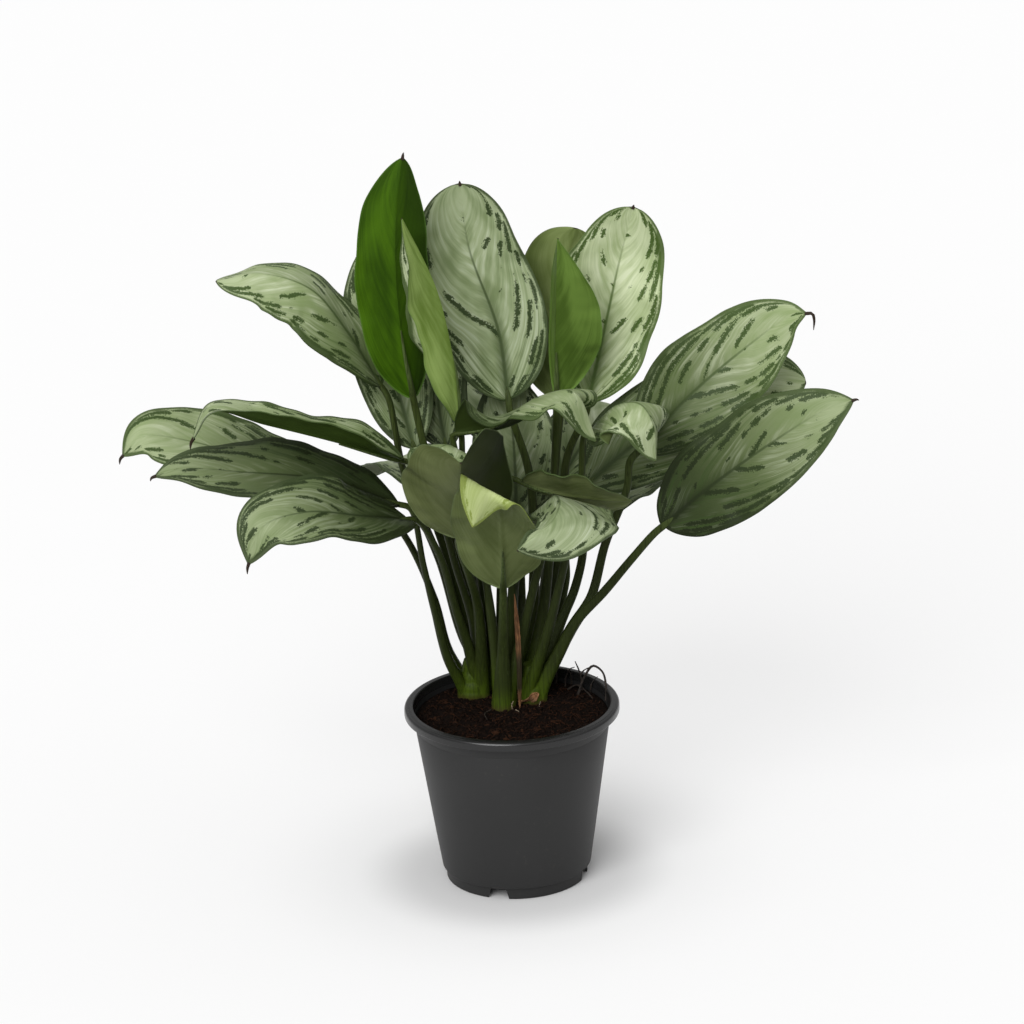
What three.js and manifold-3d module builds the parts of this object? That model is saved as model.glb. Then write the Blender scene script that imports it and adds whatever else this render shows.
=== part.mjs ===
// A potted Chinese evergreen: a tapered nursery pot, its soil, five leafy shoots and their leaves.
// Millimetres and degrees, +Z up. The origin is the centre of the pot's underside, and the side that
// faces -Y is the front. Headings turn from +X (0) through +Y (90).
import * as THREE from 'three';
import { mergeVertices } from 'three/addons/utils/BufferGeometryUtils.js';
import Module from 'manifold-3d';

const wasm = await Module();
wasm.setup();

// ---------------------------------------------------------------- driving dimensions

const POT_HEIGHT = 162;
const LIP_RADIUS = 95;
const LIP_DROP = 8;
const LIP_ROUND = 2.5;
const WALL = 1.6;
const WALL_TOP_RADIUS = 87.4;
const WALL_FOOT_RADIUS = 66;
const SKIRT_RADIUS = 62.6;
const SKIRT_HEIGHT = 10;
const SKIRT_STEP = 1.4;
const FLOOR_DISC_RADIUS = 44;
const FLOOR_CHANNEL_Z = 7;
const CHANNEL_SLOPE = 6;
const POT_SIDES = 36;

const NOTCH_TURNS = [-16, 74, 164, 254];
const NOTCH_TOP_WIDTH = 14;
const NOTCH_FOOT_WIDTH = 19.5;
const NOTCH_HEIGHT = 9;
const NOTCH_INNER_RADIUS = 53;

const GAP = 0.3;
const SOIL_TOP = 151;
const SOIL_BUMP = 2.2;
const SOIL_RINGS = 5;
const STEM_DEPTH = 28;

const ROOT_PATH = [[60, 42, 146], [65, 42, 166], [73, 42, 177], [81, 38, 173], [84, 26, 163]];
const ROOT_RADIUS = 1.3;

const BLADE = 0.9;
const KEEL = 1.3;
const BLADE_STATIONS = [0, 0.05, 0.14, 0.26, 0.4, 0.54, 0.67, 0.79, 0.89, 0.96, 1];
const HALF_COLUMNS = 3;
const WIDEST = 0.44;
const TIP_WIDTH = 0.02;
const WAVES = 2.5;
const WAVE_LAG = 1.9;

const STALK_FOOT_RADIUS = 5.6;
const STALK_TIP_RADIUS = 3.2;
const STALK_SIDES = 6;
const STALK_STEPS = 7;
const STALK_LEAD = 12;
const STALK_FOOT_Z = 157;

// The shoots: where each cane stands in the soil, and its radius there.
const SHOOTS = {
  left: { x: -34, y: 48, radius: 14 },
  front: { x: -7, y: 18, radius: 11 },
  right: { x: 18, y: 32, radius: 13 },
  back: { x: -12, y: 66, radius: 12 },
  back_right: { x: 20, y: 61, radius: 12 },
};
const CANE_COLLAR = 6;
const CANE_NECK = 34;
const CANE_NECK_RATIO = 0.55;
const CANE_SIDES = 14;

// The leaves. `foot` is where the stalk leaves its shoot and `via` its way up; `rib` runs from the base
// of the blade to its tip. `heading` is the way the leaf leans, with its upper face towards the plant
// when it stands. `fold`, `curl` and `roll` are angles at the base, the middle and the tip: the rise of
// the half to the left of the heading, how much it bends further out, and the turn about the rib.
// `rightFold` and `rightCurl` are the other half's, where it differs.
const LEAVES = [
  { name: 'leaf_top_left', face: 'bright', shoot: 'back', heading: -75, width: 72, full: 0.7,
    foot: [-16, 62], via: [[-26, 60, 200], [-42, 54, 277], [-62, 50, 350]],
    rib: [[-77, 48, 432], [-85, 40, 488], [-88, 34, 563], [-84, 34, 621], [-78, 38, 654]],
    fold: [22, 16, 14], curl: [14, 12, 8] },
  { name: 'leaf_top_centre', face: 'silver', shoot: 'back_right', heading: 88, width: 98, leftScale: 1.12, full: 0.5,
    foot: [14, 58], via: [[20, 66, 200], [24, 72, 269], [22, 74, 350]],
    rib: [[6, 72, 419], [-1, 84, 480], [-24, 90, 554], [-30, 84, 615]],
    fold: [10, 8, 4], curl: [8, 6, 4] },
  { name: 'leaf_spear', face: 'bright', shoot: 'back', heading: -15, width: 50, leftScale: 1.5,
    foot: [-8, 60], via: [[-18, 56, 216], [-28, 46, 297], [-36, 32, 367]],
    rib: [[-37, 22, 415], [-42, 14, 478], [-54, 4, 546], [-80, -2, 612]],
    fold: [30, 64, 45], curl: [4, 20, 4], rightFold: [30, 62, 24] },
  { name: 'leaf_top_right', face: 'silver', shoot: 'back_right', heading: 92, width: 88, leftScale: 1.14, full: 0.5,
    foot: [20, 55], via: [[34, 60, 213], [48, 70, 287], [56, 78, 361]],
    rib: [[76, 72, 415], [92, 84, 477], [107, 88, 539], [120, 80, 590]],
    fold: [8, 6, 4], curl: [8, 6, 4] },
  { name: 'leaf_top_behind', face: 'silver', shoot: 'back_right', heading: -95, width: 90, full: 0.6,
    foot: [18, 66], via: [[28, 84, 202], [38, 100, 274], [46, 108, 348]],
    rib: [[52, 112, 403], [56, 124, 474], [61, 128, 528], [70, 122, 559]],
    fold: [10, 10, 10], curl: [10, 10, 6] },
  { name: 'leaf_young', face: 'bright', shoot: 'right', heading: -90, width: 76, full: 1.3,
    foot: [16, 40], via: [[32, 46, 240], [41, 42, 317], [45, 38, 374]],
    rib: [[48, 36, 433], [49, 30, 483], [51, 28, 533], [53, 34, 578]],
    fold: [10, 8, 8], curl: [10, 10, 5], rightFold: [80, 84, 80], rightCurl: [0, 0, 0] },
  { name: 'leaf_inner_left', face: 'silver', shoot: 'back', heading: 62, width: 74,
    foot: [-10, 68], via: [[-24, 80, 209], [-36, 86, 290], [-44, 86, 334]],
    rib: [[-50, 86, 370], [-56, 96, 416], [-50, 112, 480], [-30, 120, 542]],
    fold: [10, 10, 6], curl: [10, 10, 6] },
  { name: 'leaf_upper_back', face: 'silver', shoot: 'back', heading: 92, width: 66,
    foot: [-18, 71], via: [[-36, 84, 200], [-52, 84, 266], [-68, 74, 326]],
    rib: [[-78, 66, 378], [-89, 92, 415], [-108, 120, 479], [-124, 138, 534]],
    fold: [10, 10, 6], curl: [10, 10, 6] },
  { name: 'leaf_upper_left', face: 'silver', shoot: 'back', heading: 165, width: 86, full: 0.6,
    foot: [-19, 66], via: [[-40, 72, 196], [-58, 70, 266], [-88, 58, 360]],
    rib: [[-105, 62, 439], [-133, 70, 488], [-163, 75, 526], [-206, 74, 542], [-245, 66, 539]],
    fold: [8, 0, 0], curl: [6, 0, -6], rightFold: [10, -40, -40], roll: [-10, -36, -36] },
  { name: 'leaf_left_high', face: 'silver', shoot: 'left', heading: 185, width: 78,
    foot: [-28, 50], via: [[-31, 46, 218], [-44, 36, 274], [-62, 22, 352]],
    rib: [[-87, 4, 390], [-136, -14, 414], [-204, -24, 438], [-249, -28, 452], [-267, -28, 427]],
    fold: [24, 28, 10], curl: [8, 4, 0], rightFold: [24, 16, 4], roll: [0, 8, 0] },
  { name: 'leaf_left_far', face: 'silver', shoot: 'left', heading: 180, width: 92,
    foot: [-39, 55], via: [[-55, 60, 190], [-66, 62, 240], [-94, 52, 310]],
    rib: [[-140, 56, 347], [-204, 62, 368], [-273, 60, 394], [-315, 54, 402], [-334, 50, 386]],
    fold: [8, 4, 0], curl: [8, 4, 0], roll: [0, -18, -36] },
  { name: 'leaf_left_middle', face: 'silver', shoot: 'left', heading: 186, width: 86,
    foot: [-42, 45], via: [[-55, 36, 192], [-65, 26, 241], [-73, 14, 289]],
    rib: [[-93, 4, 350], [-151, -10, 379], [-227, -20, 393], [-279, -26, 400], [-302, -30, 395]],
    fold: [8, 4, 0], curl: [8, 4, 0], roll: [-6, -20, -16] },
  { name: 'leaf_left_low', face: 'silver', shoot: 'left', heading: 205, width: 84,
    foot: [-30, 44], via: [[-36, 38, 198], [-46, 24, 241], [-58, 0, 301]],
    rib: [[-84, -38, 351], [-122, -80, 371], [-171, -110, 387], [-206, -130, 382], [-219, -138, 352]],
    fold: [10, 6, 0], curl: [10, 4, 0], roll: [-6, -24, -30] },
  { name: 'leaf_front_boat', face: 'silver', shoot: 'left', heading: -90, width: 108, leftScale: 1.2,
    foot: [-26, 42], via: [[-26, 24, 238], [-33, -4, 283]],
    rib: [[-41, -34, 331], [-40, -62, 367], [-38, -98, 404], [-36, -136, 436]],
    fold: [10, 38, 55], curl: [15, 30, 20], rightFold: [8, 22, 45], rightCurl: [12, 24, 20] },
  { name: 'leaf_front_low', face: 'silver', shoot: 'front', heading: -90, width: 92, leftScale: 0.8,
    foot: [-8, 14], footRadius: 8, via: [[-6, 10, 208]],
    rib: [[-4, -12, 275], [-3, -56, 331], [-5, -104, 384], [-14, -126, 407], [-28, -146, 382]],
    fold: [8, -4, -6], curl: [10, 0, -6], roll: [0, -22, -36] },
  { name: 'leaf_front_right', face: 'silver', shoot: 'front', heading: -80, width: 58, leftScale: 1.9,
    foot: [-3, 20], via: [[12, 20, 220], [28, 8, 286]],
    rib: [[40, -24, 336], [42, -77, 383], [46, -127, 392], [36, -158, 385], [9, -176, 371]],
    fold: [-6, -22, -16], curl: [-4, -12, -10], rightFold: [-14, -38, -40], rightCurl: [0, -6, -8] },
  { name: 'leaf_front_behind', face: 'silver', shoot: 'front', heading: -20, width: 72,
    foot: [-2, 24], via: [[2, 30, 226], [6, 20, 300]],
    rib: [[15, -14, 373], [48, -26, 366], [82, -34, 362], [110, -40, 362]],
    fold: [8, 4, 0], curl: [8, 4, 0], roll: [-40, -46, -40] },
  { name: 'leaf_arch_centre', face: 'silver', shoot: 'front', heading: -12, width: 94,
    foot: [-11, 24], via: [[-14, 24, 212], [-22, 18, 292], [-37, 16, 370]], lead: 4,
    rib: [[-40, 14, 410], [-4, -2, 424], [34, -32, 458], [64, -58, 468], [80, -70, 428]],
    fold: [-12, -20, -26], curl: [-20, -12, -14], rightFold: [84, 10, -34], rightCurl: [0, -10, -6] },
  { name: 'leaf_arch_right', face: 'silver', shoot: 'right', heading: -30, width: 94,
    foot: [15, 27], via: [[34, 20, 221], [51, 12, 290], [66, 2, 359]],
    rib: [[77, -6, 418], [99, -28, 446], [119, -46, 452], [129, -60, 438], [130, -70, 408]],
    fold: [-8, -16, -20], curl: [-10, -20, -20], rightFold: [-12, -24, -20] },
  { name: 'leaf_inner_front', face: 'silver', shoot: 'left', heading: -130, width: 78,
    foot: [-26, 48], via: [[-28, 38, 240], [-33, 12, 300]],
    rib: [[-30, 0, 352], [-36, -10, 392], [-48, -26, 414], [-62, -44, 408], [-68, -54, 384]],
    fold: [-4, -10, -4], curl: [-4, -8, -4] },
  { name: 'leaf_right_high', face: 'silver', shoot: 'right', heading: 25, width: 86, full: 0.95,
    foot: [24, 34], via: [[54, 36, 214], [73, 36, 245], [87, 38, 294], [107, 36, 345]],
    rib: [[119, 30, 383], [164, 36, 430], [215, 40, 472], [250, 36, 498], [267, 30, 504]],
    fold: [8, 4, 2], curl: [8, 4, 0], roll: [60, 55, 45] },
  { name: 'leaf_right_under', face: 'silver', shoot: 'right', heading: 22, width: 92, full: 0.55,
    foot: [21, 39], via: [[45, 47, 216], [60, 52, 250], [68, 56, 290]],
    rib: [[70, 60, 340], [121, 70, 378], [183, 80, 408], [237, 84, 424], [268, 82, 422]],
    fold: [8, 4, 2], curl: [8, 4, 0], roll: [50, 48, 40] },
  { name: 'leaf_right_low', face: 'silver', shoot: 'right', heading: 20, width: 88, leftScale: 0.94,
    foot: [25, 28], via: [[44, 22, 200], [60, 16, 231], [84, 8, 260], [108, 0, 292]],
    rib: [[137, -8, 326], [174, -22, 363], [230, -34, 408], [277, -40, 439], [302, -42, 448]],
    fold: [8, 4, 2], curl: [8, 4, 0], roll: [60, 55, 50] },
  { name: 'leaf_inner_back', face: 'silver', shoot: 'back', heading: 92, width: 76,
    foot: [-2, 70], via: [[4, 88, 220], [8, 94, 256]],
    rib: [[9, 96, 290], [10, 96, 340], [8, 99, 388], [2, 108, 436]],
    fold: [6, 4, 4], curl: [6, 4, 4] },
  { name: 'leaf_back_right', face: 'silver', shoot: 'back_right', heading: 60, width: 86,
    foot: [26, 65], via: [[32, 86, 220], [42, 104, 280]],
    rib: [[48, 118, 322], [78, 164, 352], [104, 216, 358], [122, 262, 334]],
    fold: [12, 8, 4], curl: [10, 6, 0] },
  { name: 'leaf_back_centre', face: 'silver', shoot: 'back', heading: 100, width: 88,
    foot: [-7, 73], via: [[-6, 96, 230], [-4, 118, 300]],
    rib: [[-2, 132, 350], [-12, 180, 384], [-22, 238, 382], [-30, 292, 348]],
    fold: [12, 8, 4], curl: [10, 6, 0] },
  { name: 'leaf_back_left', face: 'silver', shoot: 'back', heading: 125, width: 80,
    foot: [-15, 74], via: [[-28, 96, 220], [-38, 108, 264]],
    rib: [[-46, 118, 300], [-70, 160, 322], [-98, 206, 318], [-118, 244, 290]],
    fold: [12, 8, 4], curl: [10, 6, 0] },
  { name: 'leaf_back_right_low', face: 'silver', shoot: 'back_right', heading: 48, width: 78,
    foot: [27, 58], via: [[42, 76, 206], [52, 86, 244]],
    rib: [[60, 96, 276], [92, 136, 300], [128, 184, 304], [150, 226, 290]],
    fold: [12, 8, 4], curl: [10, 6, 0] },
  { name: 'leaf_back_low', face: 'silver', shoot: 'back_right', heading: 88, width: 84,
    foot: [15, 69], via: [[12, 92, 200], [12, 112, 236]],
    rib: [[13, 128, 262], [16, 176, 282], [20, 228, 274], [24, 272, 244]],
    fold: [12, 8, 4], curl: [10, 6, 0] },
];

// A dried leaf sheath that stands beside the front stalk.
const DRIED_SHEATH = {
  heading: -90, width: 7, full: 1.2,
  rib: [[7, 9, SOIL_TOP + 1.25], [7.5, 9, 190], [7, 8, 230], [5.5, 5, 262]],
  fold: [30, 20, 10], curl: [20, 10, 0], wave: 0.4,
};

// ---------------------------------------------------------------- materials

const POT_PLASTIC = { color: 0x3c3d3f, roughness: 0.42 };
const SOIL_BROWN = { color: 0x1d1512, roughness: 0.98 };
const STALK_GREEN = { color: 0x35502a, roughness: 0.5 };
const SHEATH_BROWN = { color: 0xa8683c, roughness: 0.8 };
const FACE_COLOURS = {
  silver: { color: 0x93a583, roughness: 0.45 },
  bright: { color: 0x4c7a28, roughness: 0.4 },
};

function part(name, geometry, finish) {
  const mesh = new THREE.Mesh(geometry, new THREE.MeshStandardMaterial({ metalness: 0, ...finish }));
  mesh.name = name;
  return mesh;
}

// ---------------------------------------------------------------- solids

const MERGE_DISTANCE = 0.002;

function solid(geometry) {
  const bare = geometry.clone();
  bare.deleteAttribute('normal');
  bare.deleteAttribute('uv');
  const merged = mergeVertices(bare, MERGE_DISTANCE);
  const vertProperties = merged.attributes.position.array;
  const triVerts = Uint32Array.from(merged.index.array);
  return new wasm.Manifold(new wasm.Mesh({ numProp: 3, vertProperties, triVerts }));
}

function geometryOf(manifold) {
  const mesh = manifold.getMesh();
  const geometry = new THREE.BufferGeometry();
  geometry.setAttribute('position', new THREE.BufferAttribute(mesh.vertProperties, 3));
  geometry.setIndex(new THREE.BufferAttribute(mesh.triVerts, 1));
  return geometry;
}

function fused(geometries) {
  return geometries.map(solid).reduce((all, one) => all.add(one));
}

function faceted(points, triangles) {
  const geometry = new THREE.BufferGeometry();
  geometry.setAttribute('position', new THREE.Float32BufferAttribute(points.flatMap((p) => p.toArray()), 3));
  geometry.setIndex(triangles);
  return geometry;
}

function lathed(profile, sides) {
  const geometry = new THREE.LatheGeometry(profile.map(([r, z]) => new THREE.Vector2(r, z)), sides);
  return geometry.rotateX(Math.PI / 2);
}

function vectors(points) {
  return points.map(([x, y, z]) => new THREE.Vector3(x, y, z));
}

function curveThrough(points) {
  return new THREE.CatmullRomCurve3(vectors(points), false, 'centripetal');
}

// A round bar along a curve, thinning from its foot to its tip, with a flat face at both ends.
function taperedBar(points, footRadius, tipRadius, sides, steps) {
  const curve = curveThrough(points);
  const rings = [];
  for (let i = 0; i <= steps; i += 1) {
    const u = i / steps;
    const tangent = curve.getTangentAt(u);
    const side = new THREE.Vector3().crossVectors(tangent, new THREE.Vector3(0, -1, 0)).normalize();
    const front = new THREE.Vector3().crossVectors(tangent, side);
    const radius = THREE.MathUtils.lerp(footRadius, tipRadius, u ** 0.7);
    const centre = curve.getPointAt(u);
    for (let k = 0; k < sides; k += 1) {
      const turn = (2 * Math.PI * k) / sides;
      rings.push(centre.clone()
        .addScaledVector(side, radius * Math.cos(turn))
        .addScaledVector(front, radius * Math.sin(turn)));
    }
  }
  const at = (i, k) => i * sides + (k % sides);
  const triangles = [];
  for (let i = 0; i < steps; i += 1) {
    for (let k = 0; k < sides; k += 1) {
      triangles.push(at(i, k), at(i, k + 1), at(i + 1, k + 1), at(i, k), at(i + 1, k + 1), at(i + 1, k));
    }
  }
  for (let k = 1; k < sides - 1; k += 1) {
    triangles.push(at(0, 0), at(0, k + 1), at(0, k));
    triangles.push(at(steps, 0), at(steps, k), at(steps, k + 1));
  }
  return faceted(rings, triangles);
}

// ---------------------------------------------------------------- leaf blades

// A value given at the base, the middle and the tip, eased between them.
function eased([base, middle, tip], u) {
  return u < 0.5
    ? THREE.MathUtils.lerp(base, middle, THREE.MathUtils.smoothstep(u, 0, 0.5))
    : THREE.MathUtils.lerp(middle, tip, THREE.MathUtils.smoothstep(u, 0.5, 1));
}

// Half of the blade's width along its length, 1 at the widest: a round base and a drawn-out tip.
function outline(u, full) {
  const toBase = Math.max(0, 1 - u / WIDEST);
  const toTip = Math.max(0, (u - WIDEST) / (1 - WIDEST));
  return Math.max(TIP_WIDTH, (1 - toBase ** 2.2) ** 0.6 * (1 - toTip ** 2.5) ** full);
}

// The rib's frame: along it, out to the left half, and up from the upper face.
function ribFrame(curve, leaf, u) {
  const along = curve.getTangentAt(u);
  const heading = THREE.MathUtils.degToRad(leaf.heading);
  const side = new THREE.Vector3(-Math.sin(heading), Math.cos(heading), 0);
  side.addScaledVector(along, -side.dot(along)).normalize();
  const roll = THREE.MathUtils.degToRad(eased(leaf.roll ?? [0, 0, 0], u));
  side.applyAxisAngle(along, roll);
  return { side, up: new THREE.Vector3().crossVectors(along, side) };
}

// One cross-section: the two halves as arcs from the rib, with a wave along each margin.
function bladeSection(curve, leaf, u, phase) {
  const rib = curve.getPointAt(u);
  const { side, up } = ribFrame(curve, leaf, u);
  const swell = outline(u, leaf.full ?? 0.85);
  const section = new Array(2 * HALF_COLUMNS + 1);
  section[HALF_COLUMNS] = { point: rib, normal: up };
  for (const sign of [1, -1]) {
    const left = sign > 0;
    const fold = eased(left ? leaf.fold : leaf.rightFold ?? leaf.fold, u);
    const curl = eased(left ? leaf.curl : leaf.rightCurl ?? leaf.curl, u);
    const reach = (leaf.width / 2) * swell * (left ? leaf.leftScale ?? 1 : 1);
    let out = 0;
    let rise = 0;
    for (let j = 1; j <= HALF_COLUMNS; j += 1) {
      const angle = THREE.MathUtils.degToRad(fold + (curl * (j - 0.5)) / HALF_COLUMNS);
      out += (Math.cos(angle) * reach) / HALF_COLUMNS;
      rise += (Math.sin(angle) * reach) / HALF_COLUMNS;
      const toMargin = (j / HALF_COLUMNS) ** 2;
      const swing = Math.sin(2 * Math.PI * WAVES * u + phase + (left ? 0 : WAVE_LAG));
      const wave = (leaf.wave ?? 2) * swell * toMargin * swing;
      section[HALF_COLUMNS + sign * j] = {
        point: rib.clone().addScaledVector(side, sign * out).addScaledVector(up, rise + wave),
        normal: up.clone().multiplyScalar(Math.cos(angle)).addScaledVector(side, -sign * Math.sin(angle)),
      };
    }
  }
  return section;
}

// A blade of even thickness, with a keel under the rib; both faces are split into triangles alike.
function bladeGeometry(leaf, phase) {
  const curve = curveThrough(leaf.rib);
  const columns = 2 * HALF_COLUMNS + 1;
  const upper = [];
  const lower = [];
  for (const u of BLADE_STATIONS) {
    bladeSection(curve, leaf, u, phase).forEach(({ point, normal }, j) => {
      const keel = j === HALF_COLUMNS ? KEEL * (1 - u) : 0;
      upper.push(point.clone().addScaledVector(normal, BLADE / 2));
      lower.push(point.clone().addScaledVector(normal, -BLADE / 2 - keel));
    });
  }
  const last = BLADE_STATIONS.length - 1;
  const below = upper.length;
  const at = (i, j) => i * columns + j;
  const triangles = [];
  const quad = (a, b, c, d) => triangles.push(a, b, c, a, c, d);
  for (let i = 0; i < last; i += 1) {
    for (let j = 0; j < columns - 1; j += 1) {
      const [a, b, c, d] = [at(i, j), at(i + 1, j), at(i + 1, j + 1), at(i, j + 1)];
      triangles.push(a, b, c, a, c, d);
      triangles.push(below + a, below + c, below + b, below + a, below + d, below + c);
    }
    const edge = columns - 1;
    quad(at(i, 0), below + at(i, 0), below + at(i + 1, 0), at(i + 1, 0));
    quad(at(i, edge), at(i + 1, edge), below + at(i + 1, edge), below + at(i, edge));
  }
  for (let j = 0; j < columns - 1; j += 1) {
    quad(at(0, j), at(0, j + 1), below + at(0, j + 1), below + at(0, j));
    quad(at(last, j), below + at(last, j), below + at(last, j + 1), at(last, j + 1));
  }
  return faceted([...upper, ...lower], triangles);
}

// ---------------------------------------------------------------- shoots

// A stalk ends in line with its blade, a gap short of it.
function stalkPath(leaf) {
  const curve = curveThrough(leaf.rib);
  const along = curve.getTangentAt(0);
  const base = curve.getPointAt(0);
  const lead = base.clone().addScaledVector(along, -(leaf.lead ?? STALK_LEAD));
  const end = base.clone().addScaledVector(along, -GAP);
  return [[...leaf.foot, STALK_FOOT_Z], ...leaf.via, lead.toArray(), end.toArray()];
}

function cane({ x, y, radius }) {
  const neck = radius * CANE_NECK_RATIO;
  const profile = [[0, SOIL_TOP - STEM_DEPTH], [radius, SOIL_TOP - STEM_DEPTH], [radius, SOIL_TOP + CANE_COLLAR],
    [neck, SOIL_TOP + CANE_NECK], [0, SOIL_TOP + CANE_NECK]];
  return lathed(profile, CANE_SIDES).translate(x, y, 0);
}

function shoot(key) {
  const stalks = LEAVES.filter((leaf) => leaf.shoot === key).map((leaf) => taperedBar(
    stalkPath(leaf), leaf.footRadius ?? STALK_FOOT_RADIUS, STALK_TIP_RADIUS, STALK_SIDES, STALK_STEPS,
  ));
  return geometryOf(fused([cane(SHOOTS[key]), ...stalks]));
}

// ---------------------------------------------------------------- pot and soil

function wallRadius(z) {
  const rise = (z - SKIRT_HEIGHT) / (POT_HEIGHT - LIP_DROP - SKIRT_HEIGHT);
  return THREE.MathUtils.lerp(WALL_FOOT_RADIUS, WALL_TOP_RADIUS, rise);
}

// The shell: floor disc, raised channel, skirt, tapered wall and a lip that turns down outside.
function potShell() {
  const channelInner = FLOOR_DISC_RADIUS + CHANNEL_SLOPE;
  const wallTop = POT_HEIGHT - WALL;
  const profile = [
    [0, 0], [FLOOR_DISC_RADIUS, 0], [channelInner, FLOOR_CHANNEL_Z],
    [SKIRT_RADIUS - WALL, FLOOR_CHANNEL_Z], [SKIRT_RADIUS - WALL, 0], [SKIRT_RADIUS, 0],
    [SKIRT_RADIUS, SKIRT_HEIGHT], [wallRadius(SKIRT_HEIGHT), SKIRT_HEIGHT + SKIRT_STEP],
    [wallRadius(wallTop), wallTop], [LIP_RADIUS - WALL, wallTop],
    [LIP_RADIUS - WALL, POT_HEIGHT - LIP_DROP], [LIP_RADIUS, POT_HEIGHT - LIP_DROP],
    [LIP_RADIUS, POT_HEIGHT - LIP_ROUND], [LIP_RADIUS - LIP_ROUND, POT_HEIGHT],
    [wallRadius(POT_HEIGHT) - WALL, POT_HEIGHT],
    [wallRadius(SKIRT_HEIGHT) - WALL, SKIRT_HEIGHT + SKIRT_STEP],
    [SKIRT_RADIUS - WALL, FLOOR_CHANNEL_Z + WALL], [channelInner, FLOOR_CHANNEL_Z + WALL],
    [FLOOR_DISC_RADIUS, WALL], [0, WALL],
  ];
  return lathed(profile, POT_SIDES);
}

// A drain notch, open at the foot of the skirt and through to the channel.
function notch(turn) {
  const shape = new THREE.Shape();
  shape.moveTo(-NOTCH_FOOT_WIDTH / 2, -1);
  shape.lineTo(NOTCH_FOOT_WIDTH / 2, -1);
  shape.lineTo(NOTCH_TOP_WIDTH / 2, NOTCH_HEIGHT);
  shape.lineTo(-NOTCH_TOP_WIDTH / 2, NOTCH_HEIGHT);
  const depth = WALL_FOOT_RADIUS - NOTCH_INNER_RADIUS;
  const cutter = new THREE.ExtrudeGeometry(shape, { depth, bevelEnabled: false });
  cutter.rotateX(Math.PI / 2).translate(0, -NOTCH_INNER_RADIUS, 0);
  return cutter.rotateZ(THREE.MathUtils.degToRad(turn));
}

function pot() {
  return geometryOf(NOTCH_TURNS.reduce((shell, turn) => shell.subtract(solid(notch(turn))), solid(potShell())));
}

function soilHeight(x, y) {
  const lumps = Math.sin(x * 0.11 + 1.3) * Math.cos(y * 0.09 - 0.4) + 0.6 * Math.sin(x * 0.23 - y * 0.19);
  return SOIL_TOP + SOIL_BUMP * 0.6 * lumps;
}

// The root ball fills the shell to just under its lip, with an uneven top.
function rootBall() {
  const inner = (z) => wallRadius(z) - WALL - GAP;
  const profile = [
    [0, WALL + GAP], [FLOOR_DISC_RADIUS - GAP, WALL + GAP],
    [FLOOR_DISC_RADIUS + CHANNEL_SLOPE - GAP, FLOOR_CHANNEL_Z + WALL + 2 * GAP],
    [SKIRT_RADIUS - WALL - GAP, FLOOR_CHANNEL_Z + WALL + 2 * GAP],
    [inner(SKIRT_HEIGHT) - GAP, SKIRT_HEIGHT + SKIRT_STEP + GAP],
  ];
  for (let ring = SOIL_RINGS; ring >= 0; ring -= 1) {
    profile.push([(inner(SOIL_TOP) - 2 * GAP) * (ring / SOIL_RINGS), SOIL_TOP]);
  }
  const geometry = lathed(profile, POT_SIDES);
  const position = geometry.attributes.position;
  for (let i = 0; i < position.count; i += 1) {
    if (position.getZ(i) > SOIL_TOP - 1) {
      const reach = Math.hypot(position.getX(i), position.getY(i)) / inner(SOIL_TOP);
      const calm = Math.min(1, 4 * (1 - reach));
      const height = soilHeight(position.getX(i), position.getY(i));
      position.setZ(i, THREE.MathUtils.lerp(SOIL_TOP, height, Math.max(0, calm)));
    }
  }
  return geometry;
}

function stemHole({ x, y, radius }) {
  const depth = STEM_DEPTH + GAP;
  const top = SOIL_TOP + 2 * SOIL_BUMP;
  const hole = new THREE.CylinderGeometry(radius + GAP, radius + GAP, top - SOIL_TOP + depth, CANE_SIDES * 2);
  return hole.rotateX(Math.PI / 2).translate(x, y, (top + SOIL_TOP - depth) / 2);
}

// The soil with the stems' holes, and one bare root that loops up out of it.
function soil() {
  const root = taperedBar(ROOT_PATH, ROOT_RADIUS, ROOT_RADIUS * 0.7, STALK_SIDES, 2 * STALK_STEPS);
  const ball = fused([rootBall(), root]);
  return geometryOf(Object.values(SHOOTS).reduce((body, stem) => body.subtract(solid(stemHole(stem))), ball));
}

// ---------------------------------------------------------------- the plant

const plant = new THREE.Group();
plant.add(part('pot', pot(), POT_PLASTIC));
plant.add(part('soil', soil(), SOIL_BROWN));
for (const key of Object.keys(SHOOTS)) {
  plant.add(part(`shoot_${key}`, shoot(key), STALK_GREEN));
}
LEAVES.forEach((leaf, index) => {
  plant.add(part(leaf.name, bladeGeometry(leaf, index), FACE_COLOURS[leaf.face]));
});
plant.add(part('dried_sheath', bladeGeometry(DRIED_SHEATH, 0), SHEATH_BROWN));

export default plant;
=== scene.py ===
"""A potted Chinese evergreen: fine meshes and procedural finishes around the solids of the frame.

The tables are in millimetres and degrees, as the part is drawn. MM turns a length into Blender's metres.
"""
import math
import random

import bpy
import numpy as np
from mathutils import Matrix, Vector, noise


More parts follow.
